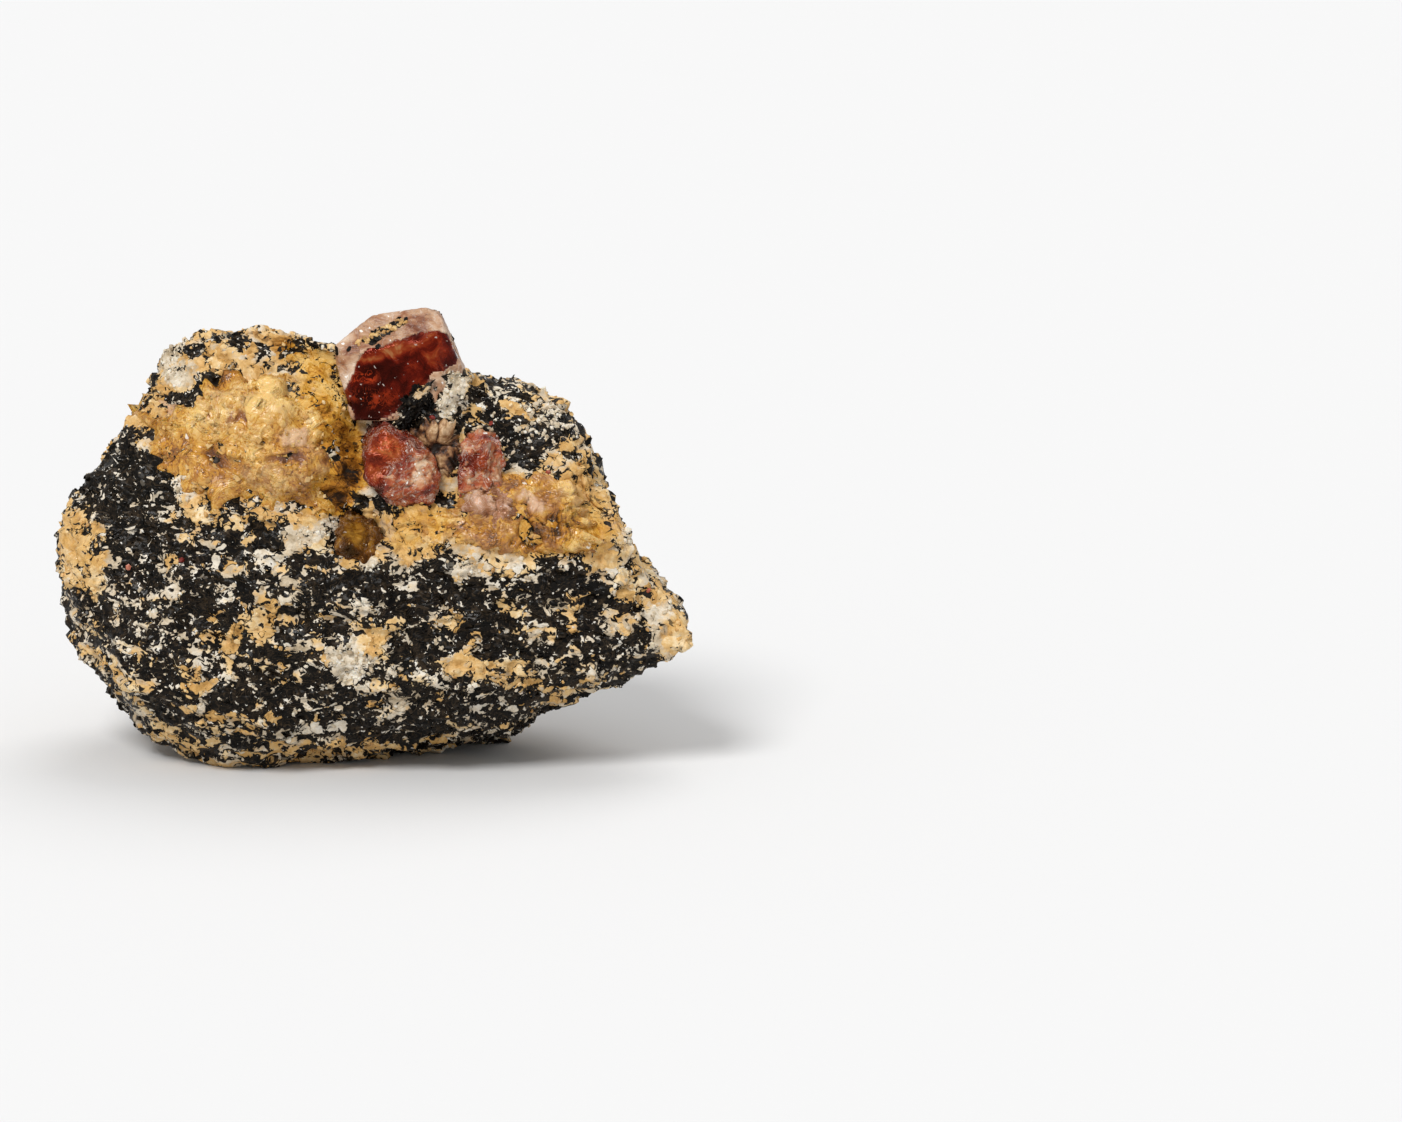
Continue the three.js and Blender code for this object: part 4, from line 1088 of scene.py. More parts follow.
def massSurface(mass):
    # Rings and spokes over a lobed oval of the skin: the outer sheet stands lift above the rock and dives under it at
    # the edge, the inner one bulges depth below it; both share the edge ring.
    rings, spokes = ((mass["rings"], mass["spokes"]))
    r, angle = np.meshgrid(np.arange(1, rings + 1) / rings, np.arange(spokes) * 2 * np.pi / spokes, indexing="ij")
    r, angle = np.append(0.0, r.ravel()), np.append(0.0, angle.ravel())
    outline, circle, wobble = massOutline(mass, angle)
    a, b = r * outline * np.cos(angle) * mass["half"][0], r * outline * np.sin(angle) * mass["half"][1]
    a, b = turned(a, b, mass.get("turn", 0))
    x, z = mass["centre"][0] + a, mass["centre"][1] + b
    base = skinAt(x, z, mass["side"])
    i, j = np.meshgrid(np.arange(rings - 1), np.arange(spokes), indexing="ij")
    first, following = 1 + i * spokes, (j + 1) % spokes
    quads = np.stack([first + j, first + spokes + j, first + spokes + following, first + following], -1)
    quads = quads.reshape(-1, 4)
    ring = np.arange(spokes)
    fan = np.stack([np.zeros(spokes, int), 1 + ring, 1 + (ring + 1) % spokes], 1)
    sheet = np.concatenate([fan, triangled(quads)])
    outwards = cornerNormals(base, sheet)
    if (outwards[:, 1] * mass["side"]).mean() < 0:
        outwards, sheet = -outwards, sheet[:, ::-1]
    paint = massRelief(mass, base, x, z, r, angle, circle, wobble)
    rise = mass["lift"] * (1 - r**5) - 0.75 * r**9 + paint[0] * (1 - 0.6 * r**6)
    outer = base + outwards * rise[:, None]
    inner = base - outwards * (0.75 + mass["depth"] * np.sqrt(np.clip(1 - r * r, 0, 1)))[:, None]
    count, edgeStart = len(base), 1 + (rings - 1) * spokes
    number = np.arange(count)
    number[:edgeStart] += count
    points = np.concatenate([outer, inner[:edgeStart]])
    points[:, 2] = np.maximum(points[:, 2], 0)
    paint = np.concatenate([paint, np.zeros((3, edgeStart))], 1)
    return points, np.concatenate([sheet, number[sheet][:, ::-1]]), paint


honeyCalcite = {
    "cloud": (2.4, 4.0, 0.6, 0.6),
    "stain": (1.6, 3.0, 0.65, 0.5),
    "glints": {"Size": 1.1, "Bar": 0.72},
    "brown": (0.3, 0.12, 0.035, 1),
    "rosy": ((0.24, 0.09, 0.04, 1), (0.66, 0.42, 0.28, 1)),  # in the hollows and where it is bright
    "glint": (0.9, 0.82, 0.7, 1),
    "roughness": (0.12, 0.4),
    "ior": 1.6,
    "shine": 0.35,
    "scatter": (0.2, 0.8, (1.0, 0.55, 0.25)),
    # each kind's lift of tone, share of brown and bump depth
    "kinds": {"honeyCalcite": (0.05, 0.3, 0.5), "brownCalcite": (-0.06, 0.6, 0.6)},
}


def makeHoneyCalcite(name):
    # Honey calcite: the shared growth colours, paler on what stands up and darker in the hollows as painted light and
    # shade; brown mixes in in clouds and rosy stains lie where the mass says.
    lift, browner, depth = honeyCalcite["kinds"][name]
    material, tree, shader, place = newMaterial(name)
    relief, brighter, rosier = (pointValue(tree, key) for key in ("relief", "brighter", "rosier"))
    cloud = noiseNode(tree, place, *honeyCalcite["cloud"])
    # contour lines that ring the lumps
    step = mathNode(tree, "FRACT", addUp(tree, times(tree, cloud, 5.0), (relief, 3.5)))
    rings = rangeNode(tree, mathNode(tree, "ABSOLUTE", less(tree, step, 0.5)), 0.02, 0.12, -0.24, 0.0)
    # up: the lumps' brightness and contour rings, plus painted light on the raised relief and painted shade in its
    # hollows
    up = mathNode(tree, "ADD", mathNode(tree, "ADD", brighter, rings), addUp(tree, lift, (relief, 0.3)))
    growth = placeEffect(tree, honeyGrowth, place, Lift=up)
    brown = rangeNode(tree, cloud, 0.46, 0.62, 0.0, browner)
    colour = mixColours(tree, brown, growth["Colour"], honeyCalcite["brown"])
    stain = noiseNode(tree, place, *honeyCalcite["stain"])
    rosy = addUp(tree, mathNode(tree, "ADD", rosier, -0.6), (stain, 1.2))
    pink = mixColours(tree, rangeNode(tree, brighter, -0.2, 0.3), *honeyCalcite["rosy"])
    colour = mixColours(tree, rangeNode(tree, rosy, 0.1, 0.6, 0.0, 0.7), colour, pink)
    glints = placeEffect(tree, sharpSpecks, place, **honeyCalcite["glints"])
    colour = mixColours(tree, glints["Mask"], colour, honeyCalcite["glint"])
    finish(tree, shader, {**honeyCalcite, "bump": depth}, colour, growth["Height"], cloud)
    return material


feldspar = {
    "tones": [
        (0.0, (0.16, 0.085, 0.04)), (0.3, (0.48, 0.31, 0.17)), (0.55, (0.66, 0.5, 0.34)), (0.8, (0.76, 0.64, 0.5)),
        (1.0, (0.86, 0.79, 0.69)),
    ],
    "cloud": (2.6, 5.0, 0.65, 0.4),
    "facets": {"Size": 0.8},
    "growth": {"Size": 1.7, "Steps": 6.0},
    "holes": {"Size": 0.9, "Bar": 0.69},
    "holeColour": (0.05, 0.035, 0.022, 1),
    "roughness": (0.25, 0.5),
    "bump": 0.9,
    "ior": 1.53,
    "shine": 0.3,
    "scatter": (0.15, 0.8, (1.0, 0.8, 0.6)),
}


def makeFeldspar():
    # Pale feldspar: clouded grains with tan stains and thin darker cleavage lines.
    material, tree, shader, place = newMaterial("paleFeldspar")
    facets = placeEffect(tree, crystalFacets, place, **feldspar["facets"])
    growth = placeEffect(tree, growthCurls, place, **feldspar["growth"])
    holes = placeEffect(tree, sharpSpecks, place, **feldspar["holes"])
    cloud = noiseNode(tree, place, *feldspar["cloud"])
    tone = addUp(tree, -0.6, (facets["Tone"], 0.24), (cloud, 2.3), (growth["Lines"], -0.2))
    colour = mixColours(tree, holes["Mask"], rampNode(tree, tone, feldspar["tones"]), feldspar["holeColour"])
    height = addUp(tree, times(tree, facets["Height"], 0.6), (cloud, 0.5))
    finish(tree, shader, feldspar, colour, height, cloud)
    return material


rosette = {
    "tones": [
        (0.0, (0.018, 0.009, 0.005)), (0.25, (0.1, 0.04, 0.018)), (0.5, (0.29, 0.14, 0.06)),
        (0.75, (0.45, 0.26, 0.12)), (1.0, (0.66, 0.45, 0.26)),
    ],
    "cloud": (1.2, 4.0, 0.65, 0.5),
    "facets": {"Size": 0.6},
    "roughness": (0.25, 0.5),
    "bump": 0.8,
    "ior": 1.55,
    "shine": 0.3,
}


def makeRosette():
    # Bladed rosette: pale tan blades; the low relief of the slits between them is darkened to dark brown as painted
    # shade.
    material, tree, shader, place = newMaterial("bladedRosette")
    facets = placeEffect(tree, crystalFacets, place, **rosette["facets"])
    cloud = noiseNode(tree, place, *rosette["cloud"])
    tone = addUp(tree, -1.35, (cloud, 3.0), (pointValue(tree, "relief"), 2.0), (facets["Tone"], 0.12))
    height = addUp(tree, times(tree, facets["Height"], 0.4), (cloud, 0.3))
    finish(tree, shader, rosette, rampNode(tree, tone, rosette["tones"]), height, cloud)
    return material


# ---- inside of the crystals
# deep: colours from the dark core to the bright parts; pale: colour of its frosted parts; innerGlint: its ember
# lines, painted glints inside it; keep and density: what the inside lets through and how fast it takes the rest;
# weight: how much is see-through; lines: how strong the scratches are
clear = {
    "zirconRed": {
        "deep": [
            (0.0, (0.014, 0.0012, 0.001)), (0.3, (0.06, 0.004, 0.002)), (0.5, (0.16, 0.01, 0.004)),
            (0.7, (0.34, 0.035, 0.01)), (0.85, (0.5, 0.11, 0.03)), (1.0, (0.62, 0.27, 0.1)),
        ],
        "pale": (0.56, 0.36, 0.24, 1), "innerGlint": (0.85, 0.09, 0.02, 1), "tint": (0.3, 0.07, 0.05, 1), "lines": 0.35,
        "keep": (0.92, 0.35, 0.2, 1), "density": 120, "weight": 0.5, "ripple": 0.5, "roughness": (0.03, 0.4),
        "ior": 1.92,
    },
    "zirconEtched": {
        "deep": [
            (0.0, (0.03, 0.003, 0.002)), (0.25, (0.1, 0.008, 0.003)), (0.5, (0.24, 0.024, 0.007)),
            (0.7, (0.38, 0.075, 0.018)), (0.85, (0.5, 0.17, 0.05)), (1.0, (0.66, 0.38, 0.19)),
        ],
        "pale": (0.62, 0.42, 0.3, 1), "innerGlint": (0.8, 0.12, 0.04, 1), "tint": (0.35, 0.12, 0.08, 1), "lines": 0.9,
        "keep": (0.92, 0.4, 0.25, 1), "density": 120, "weight": 0.3, "ripple": 1.0, "roughness": (0.08, 0.45),
        "ior": 1.92,
    },
    "quartzSmoky": {
        "deep": [
            (0.0, (0.1, 0.045, 0.018)), (0.35, (0.3, 0.16, 0.075)), (0.6, (0.48, 0.31, 0.175)),
            (1.0, (0.74, 0.6, 0.46)),
        ],
        "pale": (0.64, 0.48, 0.34, 1), "innerGlint": (0.9, 0.84, 0.76, 1), "tint": (0.7, 0.58, 0.45, 1), "lines": 0.5,
        "keep": (0.85, 0.72, 0.6, 1), "density": 90, "weight": 0.5, "ripple": 1.0, "roughness": (0.03, 0.3),
        "ior": 1.55,
    },
    "quartzRosy": {
        "deep": [
            (0.0, (0.1, 0.035, 0.012)), (0.35, (0.28, 0.11, 0.045)), (0.6, (0.45, 0.22, 0.11)),
            (1.0, (0.7, 0.48, 0.32)),
        ],
        "pale": (0.7, 0.5, 0.36, 1), "innerGlint": (0.75, 0.2, 0.12, 1), "tint": (0.5, 0.34, 0.25, 1), "lines": 0.6,
        "keep": (0.9, 0.68, 0.5, 1), "density": 90, "weight": 0.25, "ripple": 1.0, "roughness": (0.04, 0.3),
        "ior": 1.55,
    },
    "calciteAmber": {
        "deep": [
            (0.0, (0.03, 0.01, 0.002)), (0.3, (0.1, 0.03, 0.003)), (0.55, (0.28, 0.1, 0.008)),
            (0.8, (0.6, 0.28, 0.03)), (1.0, (0.7, 0.42, 0.12)),
        ],
        "pale": (0.55, 0.36, 0.16, 1), "innerGlint": (0.75, 0.4, 0.04, 1), "tint": (0.5, 0.3, 0.12, 1), "lines": 0.4,
        "keep": (0.95, 0.6, 0.18, 1), "density": 120, "weight": 0.5, "ripple": 0.9, "roughness": (0.04, 0.3),
        "ior": 1.6,
    },
}
withinCrystal = {
    "facets": {"Size": 1.5},
    "curls": {"Size": 1.3, "Steps": 8.0},
    "glintSpecks": {"Size": 0.5, "Bar": 0.705},
    "veil": (2.2, 5.0, 0.65, 0.9),
    "scratchAndGlintColour": (0.82, 0.72, 0.64, 1),
}


def makeClear(name):
    # See-through crystal: plain transmission and absorption; its colour runs from the dark core to bright parts by
    # veils and by where the piece glows, then to frost; painted glints lie over it as ember lines and tiny pale
    # specks.
    values = clear[name]
    material, tree, shader, place = newMaterial(name)
    frost, glow, innerGlint = (pointValue(tree, key) for key in ("frost", "glow", "innerGlint"))
    facets = placeEffect(tree, crystalFacets, place, **withinCrystal["facets"])
    curls = placeEffect(tree, growthCurls, place, **withinCrystal["curls"])
    glintSpecks = placeEffect(tree, sharpSpecks, place, **withinCrystal["glintSpecks"])
    veil = noiseNode(tree, place, *withinCrystal["veil"])
    tone = mathNode(tree, "ADD", addUp(tree, glow, (less(tree, veil, 0.5), 1.9)), 0.27)
    colour = rampNode(tree, addUp(tree, tone, (facets["Tone"], 0.16), (frost, 0.3)), values["deep"])
    frosted = addUp(tree, frost, (less(tree, veil, 0.5), 1.6))
    colour = mixColours(tree, rangeNode(tree, frosted, 0.45, 1.0, 0.0, 0.85), colour, values["pale"])
    # painted glints: ember-coloured lines inside the crystal where innerGlint is set
    innerGlintLines = mathNode(tree, "MAXIMUM", curls["Lines"], rangeNode(tree, veil, 0.54, 0.6))
    colour = mixColours(tree, times(tree, innerGlint, innerGlintLines), colour, values["innerGlint"])
    scratches = times(tree, curls["Lines"], rangeNode(tree, frosted, 0.1, 0.6, 0.0, values["lines"]))
    # real scratches, with tiny pale specks added to them as painted glints
    scratches = mathNode(tree, "MAXIMUM", scratches, glintSpecks["Mask"])
    colour = mixColours(tree, scratches, colour, withinCrystal["scratchAndGlintColour"])
    rough = rangeNode(tree, frosted, 0.2, 1.0, *values["roughness"])
    height = addUp(tree, times(tree, facets["Height"], 0.16), (veil, 0.2))
    feed(tree, shader, Base_Color=colour, Roughness=rough, Normal=bumpNode(tree, height, values["ripple"]))
    feed(tree, shader, IOR=values["ior"], Transmission_Weight=values["weight"], Specular_Tint=values["tint"])
    absorb = addNode(tree, "VolumeAbsorption", Color=values["keep"], Density=values["density"])
    tree.links.new(absorb.outputs[0], tree.nodes["Material Output"].inputs["Volume"])
    return material


clearMaterials = {name: makeClear(name) for name in clear}
massMaterials = {
    "calciteRosette": makeRosette(),
    "calciteYellow": makeHoneyCalcite("honeyCalcite"),
    "calciteHoney": makeHoneyCalcite("brownCalcite"),
    "feldspar": makeFeldspar(),
    "quartzRosy": clearMaterials["quartzRosy"],
    "zirconShoulder": clearMaterials["zirconRed"],
    "zirconFlank": clearMaterials["zirconEtched"],
}
massPoints = {}
for name, mass in masses.items():
    points, faces, (relief, brighter, rosier) = massSurface(mass)
    massPoints[name] = (points, faces)
    values = {"relief": relief, "brighter": brighter, "rosier": rosier}
    if mass["slot"] in ("quartz", "zircon_dark"):
        values = {"frost": 0.25 + 0.6 * relief, "glow": 0.5 * relief, "innerGlint": 0 * relief + 0.2}
    piece = putMesh(name, points + shift, faces, True, values)
    dress(piece, massMaterials.get(name, massMaterials["feldspar"]), mass.get("node"))
    print(name, len(faces), "triangles")

# ---- crusts and the crystals themselves
etched = {
    "streakTurns": (0.3, 0.4, 0.2),
    "streakScales": (0.35, 0.8, 1.6),
    "streaks": (0.9, 4.0, 0.6, 0.5),
    "pits": {"Size": 0.7, "Bar": 0.69},
    "glints": {"Size": 0.7, "Bar": 0.685},
    "glintColour": (0.92, 0.87, 0.8, 1),
    "roughness": (0.26, 0.5),
    "bump": 0.8,
    "ior": 1.6,
    "shine": 0.28,
}
frosts = {
    "frostTan": {
        "tones": [
            (0.0, (0.12, 0.03, 0.012)), (0.25, (0.28, 0.11, 0.05)), (0.5, (0.45, 0.25, 0.14)),
            (0.75, (0.58, 0.39, 0.26)), (1.0, (0.74, 0.58, 0.45)),
        ],
        "facet": 1.7, "cloud": 3.2, "curl": 2.1, "lines": 0.5, "scratch": (0.74, 0.6, 0.5, 1),
    },
    "frostRose": {
        "tones": [
            (0.0, (0.06, 0.006, 0.003)), (0.3, (0.24, 0.026, 0.008)), (0.6, (0.42, 0.1, 0.03)),
            (0.8, (0.56, 0.28, 0.14)), (1.0, (0.74, 0.52, 0.34)),
        ],
        "facet": 1.0, "cloud": 2.4, "curl": 1.1, "lines": 0.85, "scratch": (0.78, 0.6, 0.48, 1),
    },
}


def makeFrost(name):
    # Etched crust of a crystal: broad clouds, bent cleavage streaks, curling pale scratches, pits and glints.
    values = frosts[name]
    material, tree, shader, place = newMaterial(name)
    facets = placeEffect(tree, crystalFacets, place, Size=values["facet"])
    curls = placeEffect(tree, growthCurls, place, Size=values["curl"], Steps=6.0)
    pits = placeEffect(tree, sharpSpecks, place, **etched["pits"])
    glints = placeEffect(tree, sharpSpecks, place, **etched["glints"])
    cloud = noiseNode(tree, place, values["cloud"], 4.0, 0.6, 0.8)
    streaked = stretched(tree, place, etched["streakTurns"], etched["streakScales"])
    streaks = noiseNode(tree, streaked, *etched["streaks"])
    tone = addUp(tree, -1.1, (streaks, 0.8), (cloud, 2.2), (facets["Tone"], 0.22), (pointValue(tree, "glow"), 0.3))
    scratches = times(tree, curls["Lines"], rangeNode(tree, cloud, 0.4, 0.6, 0.2, values["lines"]))
    colour = mixColours(tree, scratches, rampNode(tree, tone, values["tones"]), values["scratch"])
    colour = mixColours(tree, times(tree, pits["Mask"], 0.5), colour, (*values["tones"][0][1], 1))
    colour = mixColours(tree, glints["Mask"], colour, etched["glintColour"])
    height = addUp(tree, times(tree, facets["Height"], 0.4), (streaks, 0.16), (curls["Lines"], 0.05))
    finish(tree, shader, etched, colour, height, cloud)
    return material


frostMaterials = {name: makeFrost(name) for name in frosts}

# bar: how frosted the surface is where the crust begins
crystalPieces = {
    "zirconMain": {
        "node": "zircon_main", "slot": "zircon_dark", "material": "zirconRed", "crust": "frostTan", "bar": 0.55,
    },
    "zirconFront": {
        "node": "zircon_front", "slot": "zircon_etched", "material": "zirconEtched", "crust": "frostRose",
        "bar": 0.62,
    },
    "zirconRight": {
        "node": "zircon_right", "slot": "zircon_etched", "material": "zirconEtched", "crust": "frostRose",
        "bar": 0.6,
    },
    "zirconBack": {
        "node": "zircon_back", "slot": "zircon_dark", "material": "zirconRed", "crust": "frostRose", "bar": 0.55,
    },
    "quartzBack": {"node": "quartz_back", "slot": "quartz", "material": "quartzSmoky"},
    "calciteAmber": {"node": "calcite_amber", "slot": "calcite_amber", "material": "calciteAmber"},
}
crustRise, crustDepth = 0.05, 0.08


def crustOver(points, faces, keep):
    # A thin closed shell over the kept faces: one sheet above the surface, one below it, walls between.
    outwards = cornerNormals(points, faces)
    kept = faces[keep]
    used, local = np.unique(kept, return_inverse=True)
    local = local.reshape(kept.shape)
    count = len(used)
    edges = np.stack([local, np.roll(local, -1, axis=1)], -1).reshape(-1, 2)
    key = edges[:, 0].astype(np.int64) * count + edges[:, 1]
    back = edges[:, 1].astype(np.int64) * count + edges[:, 0]
    border = edges[~np.isin(key, back)]
    walls = np.stack([border[:, 1], border[:, 0], border[:, 0] + count, border[:, 1] + count], 1)
    both = np.concatenate([points[used] + outwards[used] * crustRise, points[used] - outwards[used] * crustDepth])
    return both, np.concatenate([local, local[:, ::-1] + count, walls]), used


crystalPoints = {}
for name, parts in crystalPieces.items():
    crystal = crystals[parts["node"]]
    points, faces, values = crystalSurface(crystal, crystal["cells"])
    crystalPoints[name] = (points, faces)
    piece = putMesh(name, points + shift, faces, True, values)
    dress(piece, clearMaterials[parts["material"]], parts["node"])
    if "crust" in parts:
        ragged = values["frost"] + 0.42 * layered(points, 1.5, 301, 4, 0.75)
        keep = ragged[faces].mean(1) > parts["bar"]
        crustPoints, crustFaces, used = crustOver(points, faces, keep)
        glow = {"glow": np.tile(values["glow"][used], 2)}
        crust = putMesh(name + "Crust", crustPoints + shift, crustFaces, True, glow)
        dress(crust, frostMaterials[parts["crust"]], None)
    print(name, len(faces) * 2, "triangles")

# ---- small grains and flakes, joined into a few meshes; ball, plate and block are each a shape's corners and faces
goldenRatio = (1 + math.sqrt(5)) / 2
ball = (
    unit(np.array([
        (-1, goldenRatio, 0), (1, goldenRatio, 0), (-1, -goldenRatio, 0), (1, -goldenRatio, 0),
        (0, -1, goldenRatio), (0, 1, goldenRatio), (0, -1, -goldenRatio), (0, 1, -goldenRatio),
        (goldenRatio, 0, -1), (goldenRatio, 0, 1), (-goldenRatio, 0, -1), (-goldenRatio, 0, 1),
    ])),
    np.array([
        (0, 11, 5), (0, 5, 1), (0, 1, 7), (0, 7, 10), (0, 10, 11), (1, 5, 9), (5, 11, 4), (11, 10, 2), (10, 7, 6),
        (7, 1, 8), (3, 9, 4), (3, 4, 2), (3, 2, 6), (3, 6, 8), (3, 8, 9), (4, 9, 5), (2, 4, 11), (6, 2, 10),
        (8, 6, 7), (9, 8, 1),
    ]),
)
sixth = np.arange(6) * np.pi / 3
plate = (
    np.concatenate([np.stack([np.cos(sixth), np.sin(sixth), np.full(6, side)], 1) for side in (-1.0, 1.0)]),
    np.array(
        [(6, 7, 8), (6, 8, 9), (6, 9, 10), (6, 10, 11), (0, 2, 1), (0, 3, 2), (0, 4, 3), (0, 5, 4)]
        + [corner for k in range(6) for corner in ((k, (k + 1) % 6, 6 + (k + 1) % 6), (k, 6 + (k + 1) % 6, 6 + k))]
    ),
)
block = (
    np.array([(a, b, c) for a in (-1.0, 1.0) for b in (-1.0, 1.0) for c in (-1.0, 1.0)]),
    np.array([
        (0, 1, 3), (0, 3, 2), (4, 6, 7), (4, 7, 5), (0, 4, 5), (0, 5, 1), (2, 3, 7), (2, 7, 6), (0, 2, 6), (0, 6, 4),
        (1, 5, 7), (1, 7, 3),
    ]),
)
fewer = 1


def spotsOn(points, faces, weight, count, numbers):
    # Places spread over the faces in proportion to area times weight: a random mix of a triangle's three corners.
    faces = triangled(faces) if faces.shape[1] == 4 else faces
    a, b, c = (points[faces[:, k]] for k in range(3))
    across = np.cross(b - a, c - a)
    chance = np.clip(weight[faces].mean(1), 0, None) * np.linalg.norm(across, axis=1)
    chosen = numbers.choice(len(faces), count, p=chance / chance.sum())
    s, t = numbers.random((2, count, 1))
    over = s + t > 1
    s, t = np.where(over, 1 - s, s), np.where(over, 1 - t, t)
    a, b, c = a[chosen], b[chosen], c[chosen]
    return a + s * (b - a) + t * (c - a), unit(across[chosen])


def turnedFrames(up, along):
    # Three crossed directions for each piece: its own up, the part of along that lies flat to it, and their cross.
    flat = along - up * np.einsum("ij,ij->i", along, up)[:, None]
    first = unit(flat + 1e-9)
    return np.stack([first, np.cross(up, first), up], -1)


def strew(name, material, shape, spots, frames, sizes, ragged, numbers, tone):
    # Copies of one small shape in a single mesh: each corner is sized, shaken, turned by its frame and moved.
    shapeCorners, shapeFaces = shape
    shaken = 1 + ragged * numbers.normal(size=(len(spots), len(shapeCorners), 1))
    corners = shapeCorners[None] * shaken * sizes[:, None, :]
    corners = np.einsum("nij,nkj->nki", frames, corners) + spots[:, None]
    faces = shapeFaces[None] + (np.arange(len(spots)) * len(shapeCorners))[:, None, None]
    points = corners.reshape(-1, 3)
    points[:, 2] = np.maximum(points[:, 2], 0.0)
    values = {"tone": np.repeat(tone, len(shapeCorners))}
    dress(putMesh(name, points + shift, faces.reshape(-1, 3), False, values), material, None)


grains = {
    "cloud": (0.5, 4.0, 0.65, 0.4),
    "bump": 0.06,
    "ior": 1.5,
    "mica": [
        (0.0, (0.002, 0.0017, 0.0014)), (0.6, (0.008, 0.006, 0.0045)), (0.85, (0.04, 0.028, 0.018)),
        (1.0, (0.13, 0.1, 0.07)),
    ],
    "honey": [(0.0, (0.28, 0.13, 0.03)), (0.5, (0.6, 0.34, 0.1)), (1.0, (0.82, 0.6, 0.3))],
    "red": [
        (0.0, (0.05, 0.004, 0.003)), (0.3, (0.22, 0.02, 0.012)), (0.6, (0.42, 0.1, 0.05)), (1.0, (0.62, 0.3, 0.2)),
    ],
}


def makeGrainMaterial(name, stops, roughness, weight=0.0, shine=0.5):
    # Loose grains: each grain's own tone, with fine clouds over it; weight is how much light spreads inside them.
    material, tree, shader, place = newMaterial(name)
    cloud = noiseNode(tree, place, *grains["cloud"])
    tone = addUp(tree, -0.1, (pointValue(tree, "tone"), 0.7), (cloud, 0.5))
    values = {**grains, "roughness": roughness, "shine": shine}
    if weight:
        values["scatter"] = (weight, 0.6, (1.0, 0.55, 0.3))
    finish(tree, shader, values, rampNode(tree, tone, stops), cloud, cloud)
    return material


micaMaterial = makeGrainMaterial("biotiteMica", grains["mica"], (0.16, 0.36), shine=0.12)
feldsparMaterial = makeGrainMaterial("feldsparGrains", gneiss["cream"], (0.3, 0.55), 0.15)
ochreMaterial = makeGrainMaterial("ochreGrains", gneiss["ochre"], (0.3, 0.55), 0.15)
honeyMaterial = makeGrainMaterial("honeyGrains", grains["honey"], (0.12, 0.3), 0.2)
redMaterial = makeGrainMaterial("redGrains", grains["red"], (0.1, 0.3))
loose = {
    "mica": {
        "count": 2800, "size": (0.1, 0.22), "thick": (0.03, 0.05), "stretch": 1.6, "lean": 0.04, "seed": 41,
    },
    "feldspar": {"count": 2600, "size": (0.12, 0.36), "seed": 42},
    "ochre": {"count": 1700, "size": (0.12, 0.36), "seed": 43},
    "honey": {"count": 160, "size": (0.1, 0.28), "seed": 44},
}


def makeMica(bare, dark):
    # Flakes lie flat on the dark parts, turned slightly towards the bands and pointed roughly along them.
    values = loose["mica"]
    numbers, count = np.random.default_rng(values["seed"]), values["count"] // fewer
    spots, out = spotsOn(rockPoints, rockFaces, bare * easeStep(dark, -0.05, 0.5), count, numbers)
    towards = acrossBands * np.sign(out @ acrossBands)[:, None] * 0.08
    up = unit(out + towards + values["lean"] * numbers.normal(size=out.shape))
    along = np.array([math.cos(dip), 0, -math.sin(dip)]) + 0.7 * numbers.normal(size=up.shape)
    size = numbers.uniform(*values["size"], count) * numbers.uniform(0.6, 1.2, count)
    sizes = np.stack([size * values["stretch"], size, numbers.uniform(*values["thick"], count)], 1)
    frames, tone = turnedFrames(up, along), numbers.random(count) ** 2
    strew("micaFlakes", micaMaterial, plate, spots - out * 0.03, frames, sizes, 0.12, numbers, tone)


def makeRockGrains(key, name, material, weight):
    # Small balls that lean every way, sunk by 0.3 of their size; most are small, as size is a random share squared.
    values = loose[key]
    numbers, count = np.random.default_rng(values["seed"]), values["count"] // fewer
    spots, up = spotsOn(rockPoints, rockFaces, weight, count, numbers)
    small, large = values["size"]
    size = small + (large - small) * numbers.random(count) ** 2
    sizes = size[:, None] * numbers.uniform(0.6, 1.25, (count, 3))
    frames = turnedFrames(unit(numbers.normal(size=up.shape)), numbers.normal(size=up.shape))
    sunk, tone = spots - up * size[:, None] * 0.3, numbers.random(count)
    strew(name, material, ball, sunk, frames, sizes, 0.13, numbers, tone)


def makeHoneyGrains():
    # Little blocks on the outer half of the yellow mass.
    values = loose["honey"]
    points, faces = massPoints["calciteYellow"]
    numbers, count = np.random.default_rng(values["seed"]), values["count"] // fewer
    spots, up = spotsOn(points, faces[: len(faces) // 2], np.ones(len(points)), count, numbers)
    size = numbers.uniform(*values["size"], count)
    frames = turnedFrames(unit(up + 0.8 * numbers.normal(size=up.shape)), numbers.normal(size=up.shape))
    sizes = size[:, None] * numbers.uniform(0.6, 1.2, (count, 3))
    sunk, tone = spots - up * size[:, None] * 0.45, numbers.random(count)
    strew("honeyGrains", honeyMaterial, block, sunk, frames, sizes, 0.12, numbers, tone)


def makeLoose():
    bare = (~inPocket).astype(float)
    dark, ochre, soaked = (rockValues[key] for key in ("dark", "ochre", "honey"))
    makeMica(bare, dark)
    pale = easeStep(-dark, -0.15, 0.3)
    cream, rusty, dry = pale * easeStep(-ochre, -0.1, 0.25), pale * easeStep(ochre, 0, 0.3), 1 - 0.7 * soaked
    makeRockGrains("feldspar", "feldsparGrains", feldsparMaterial, bare * cream * dry)
    makeRockGrains("ochre", "ochreGrains", ochreMaterial, bare * rusty * dry)
    makeHoneyGrains()
    print("loose grains done")


makeLoose()

# ---- bladed mica over the lower right of the large crystal, flecks on its crown and a few coloured grains
knob = {
    "middle": (4.0, -9.2, 36.5), "half": (2.9, 0.9, 0.9), "turn": 52, "cells": 26, "rough": 0.3, "seed": 71,
    "flakes": 260, "size": (0.14, 0.34), "thick": (0.03, 0.07), "along": (0.7, 0, 0.7),
}


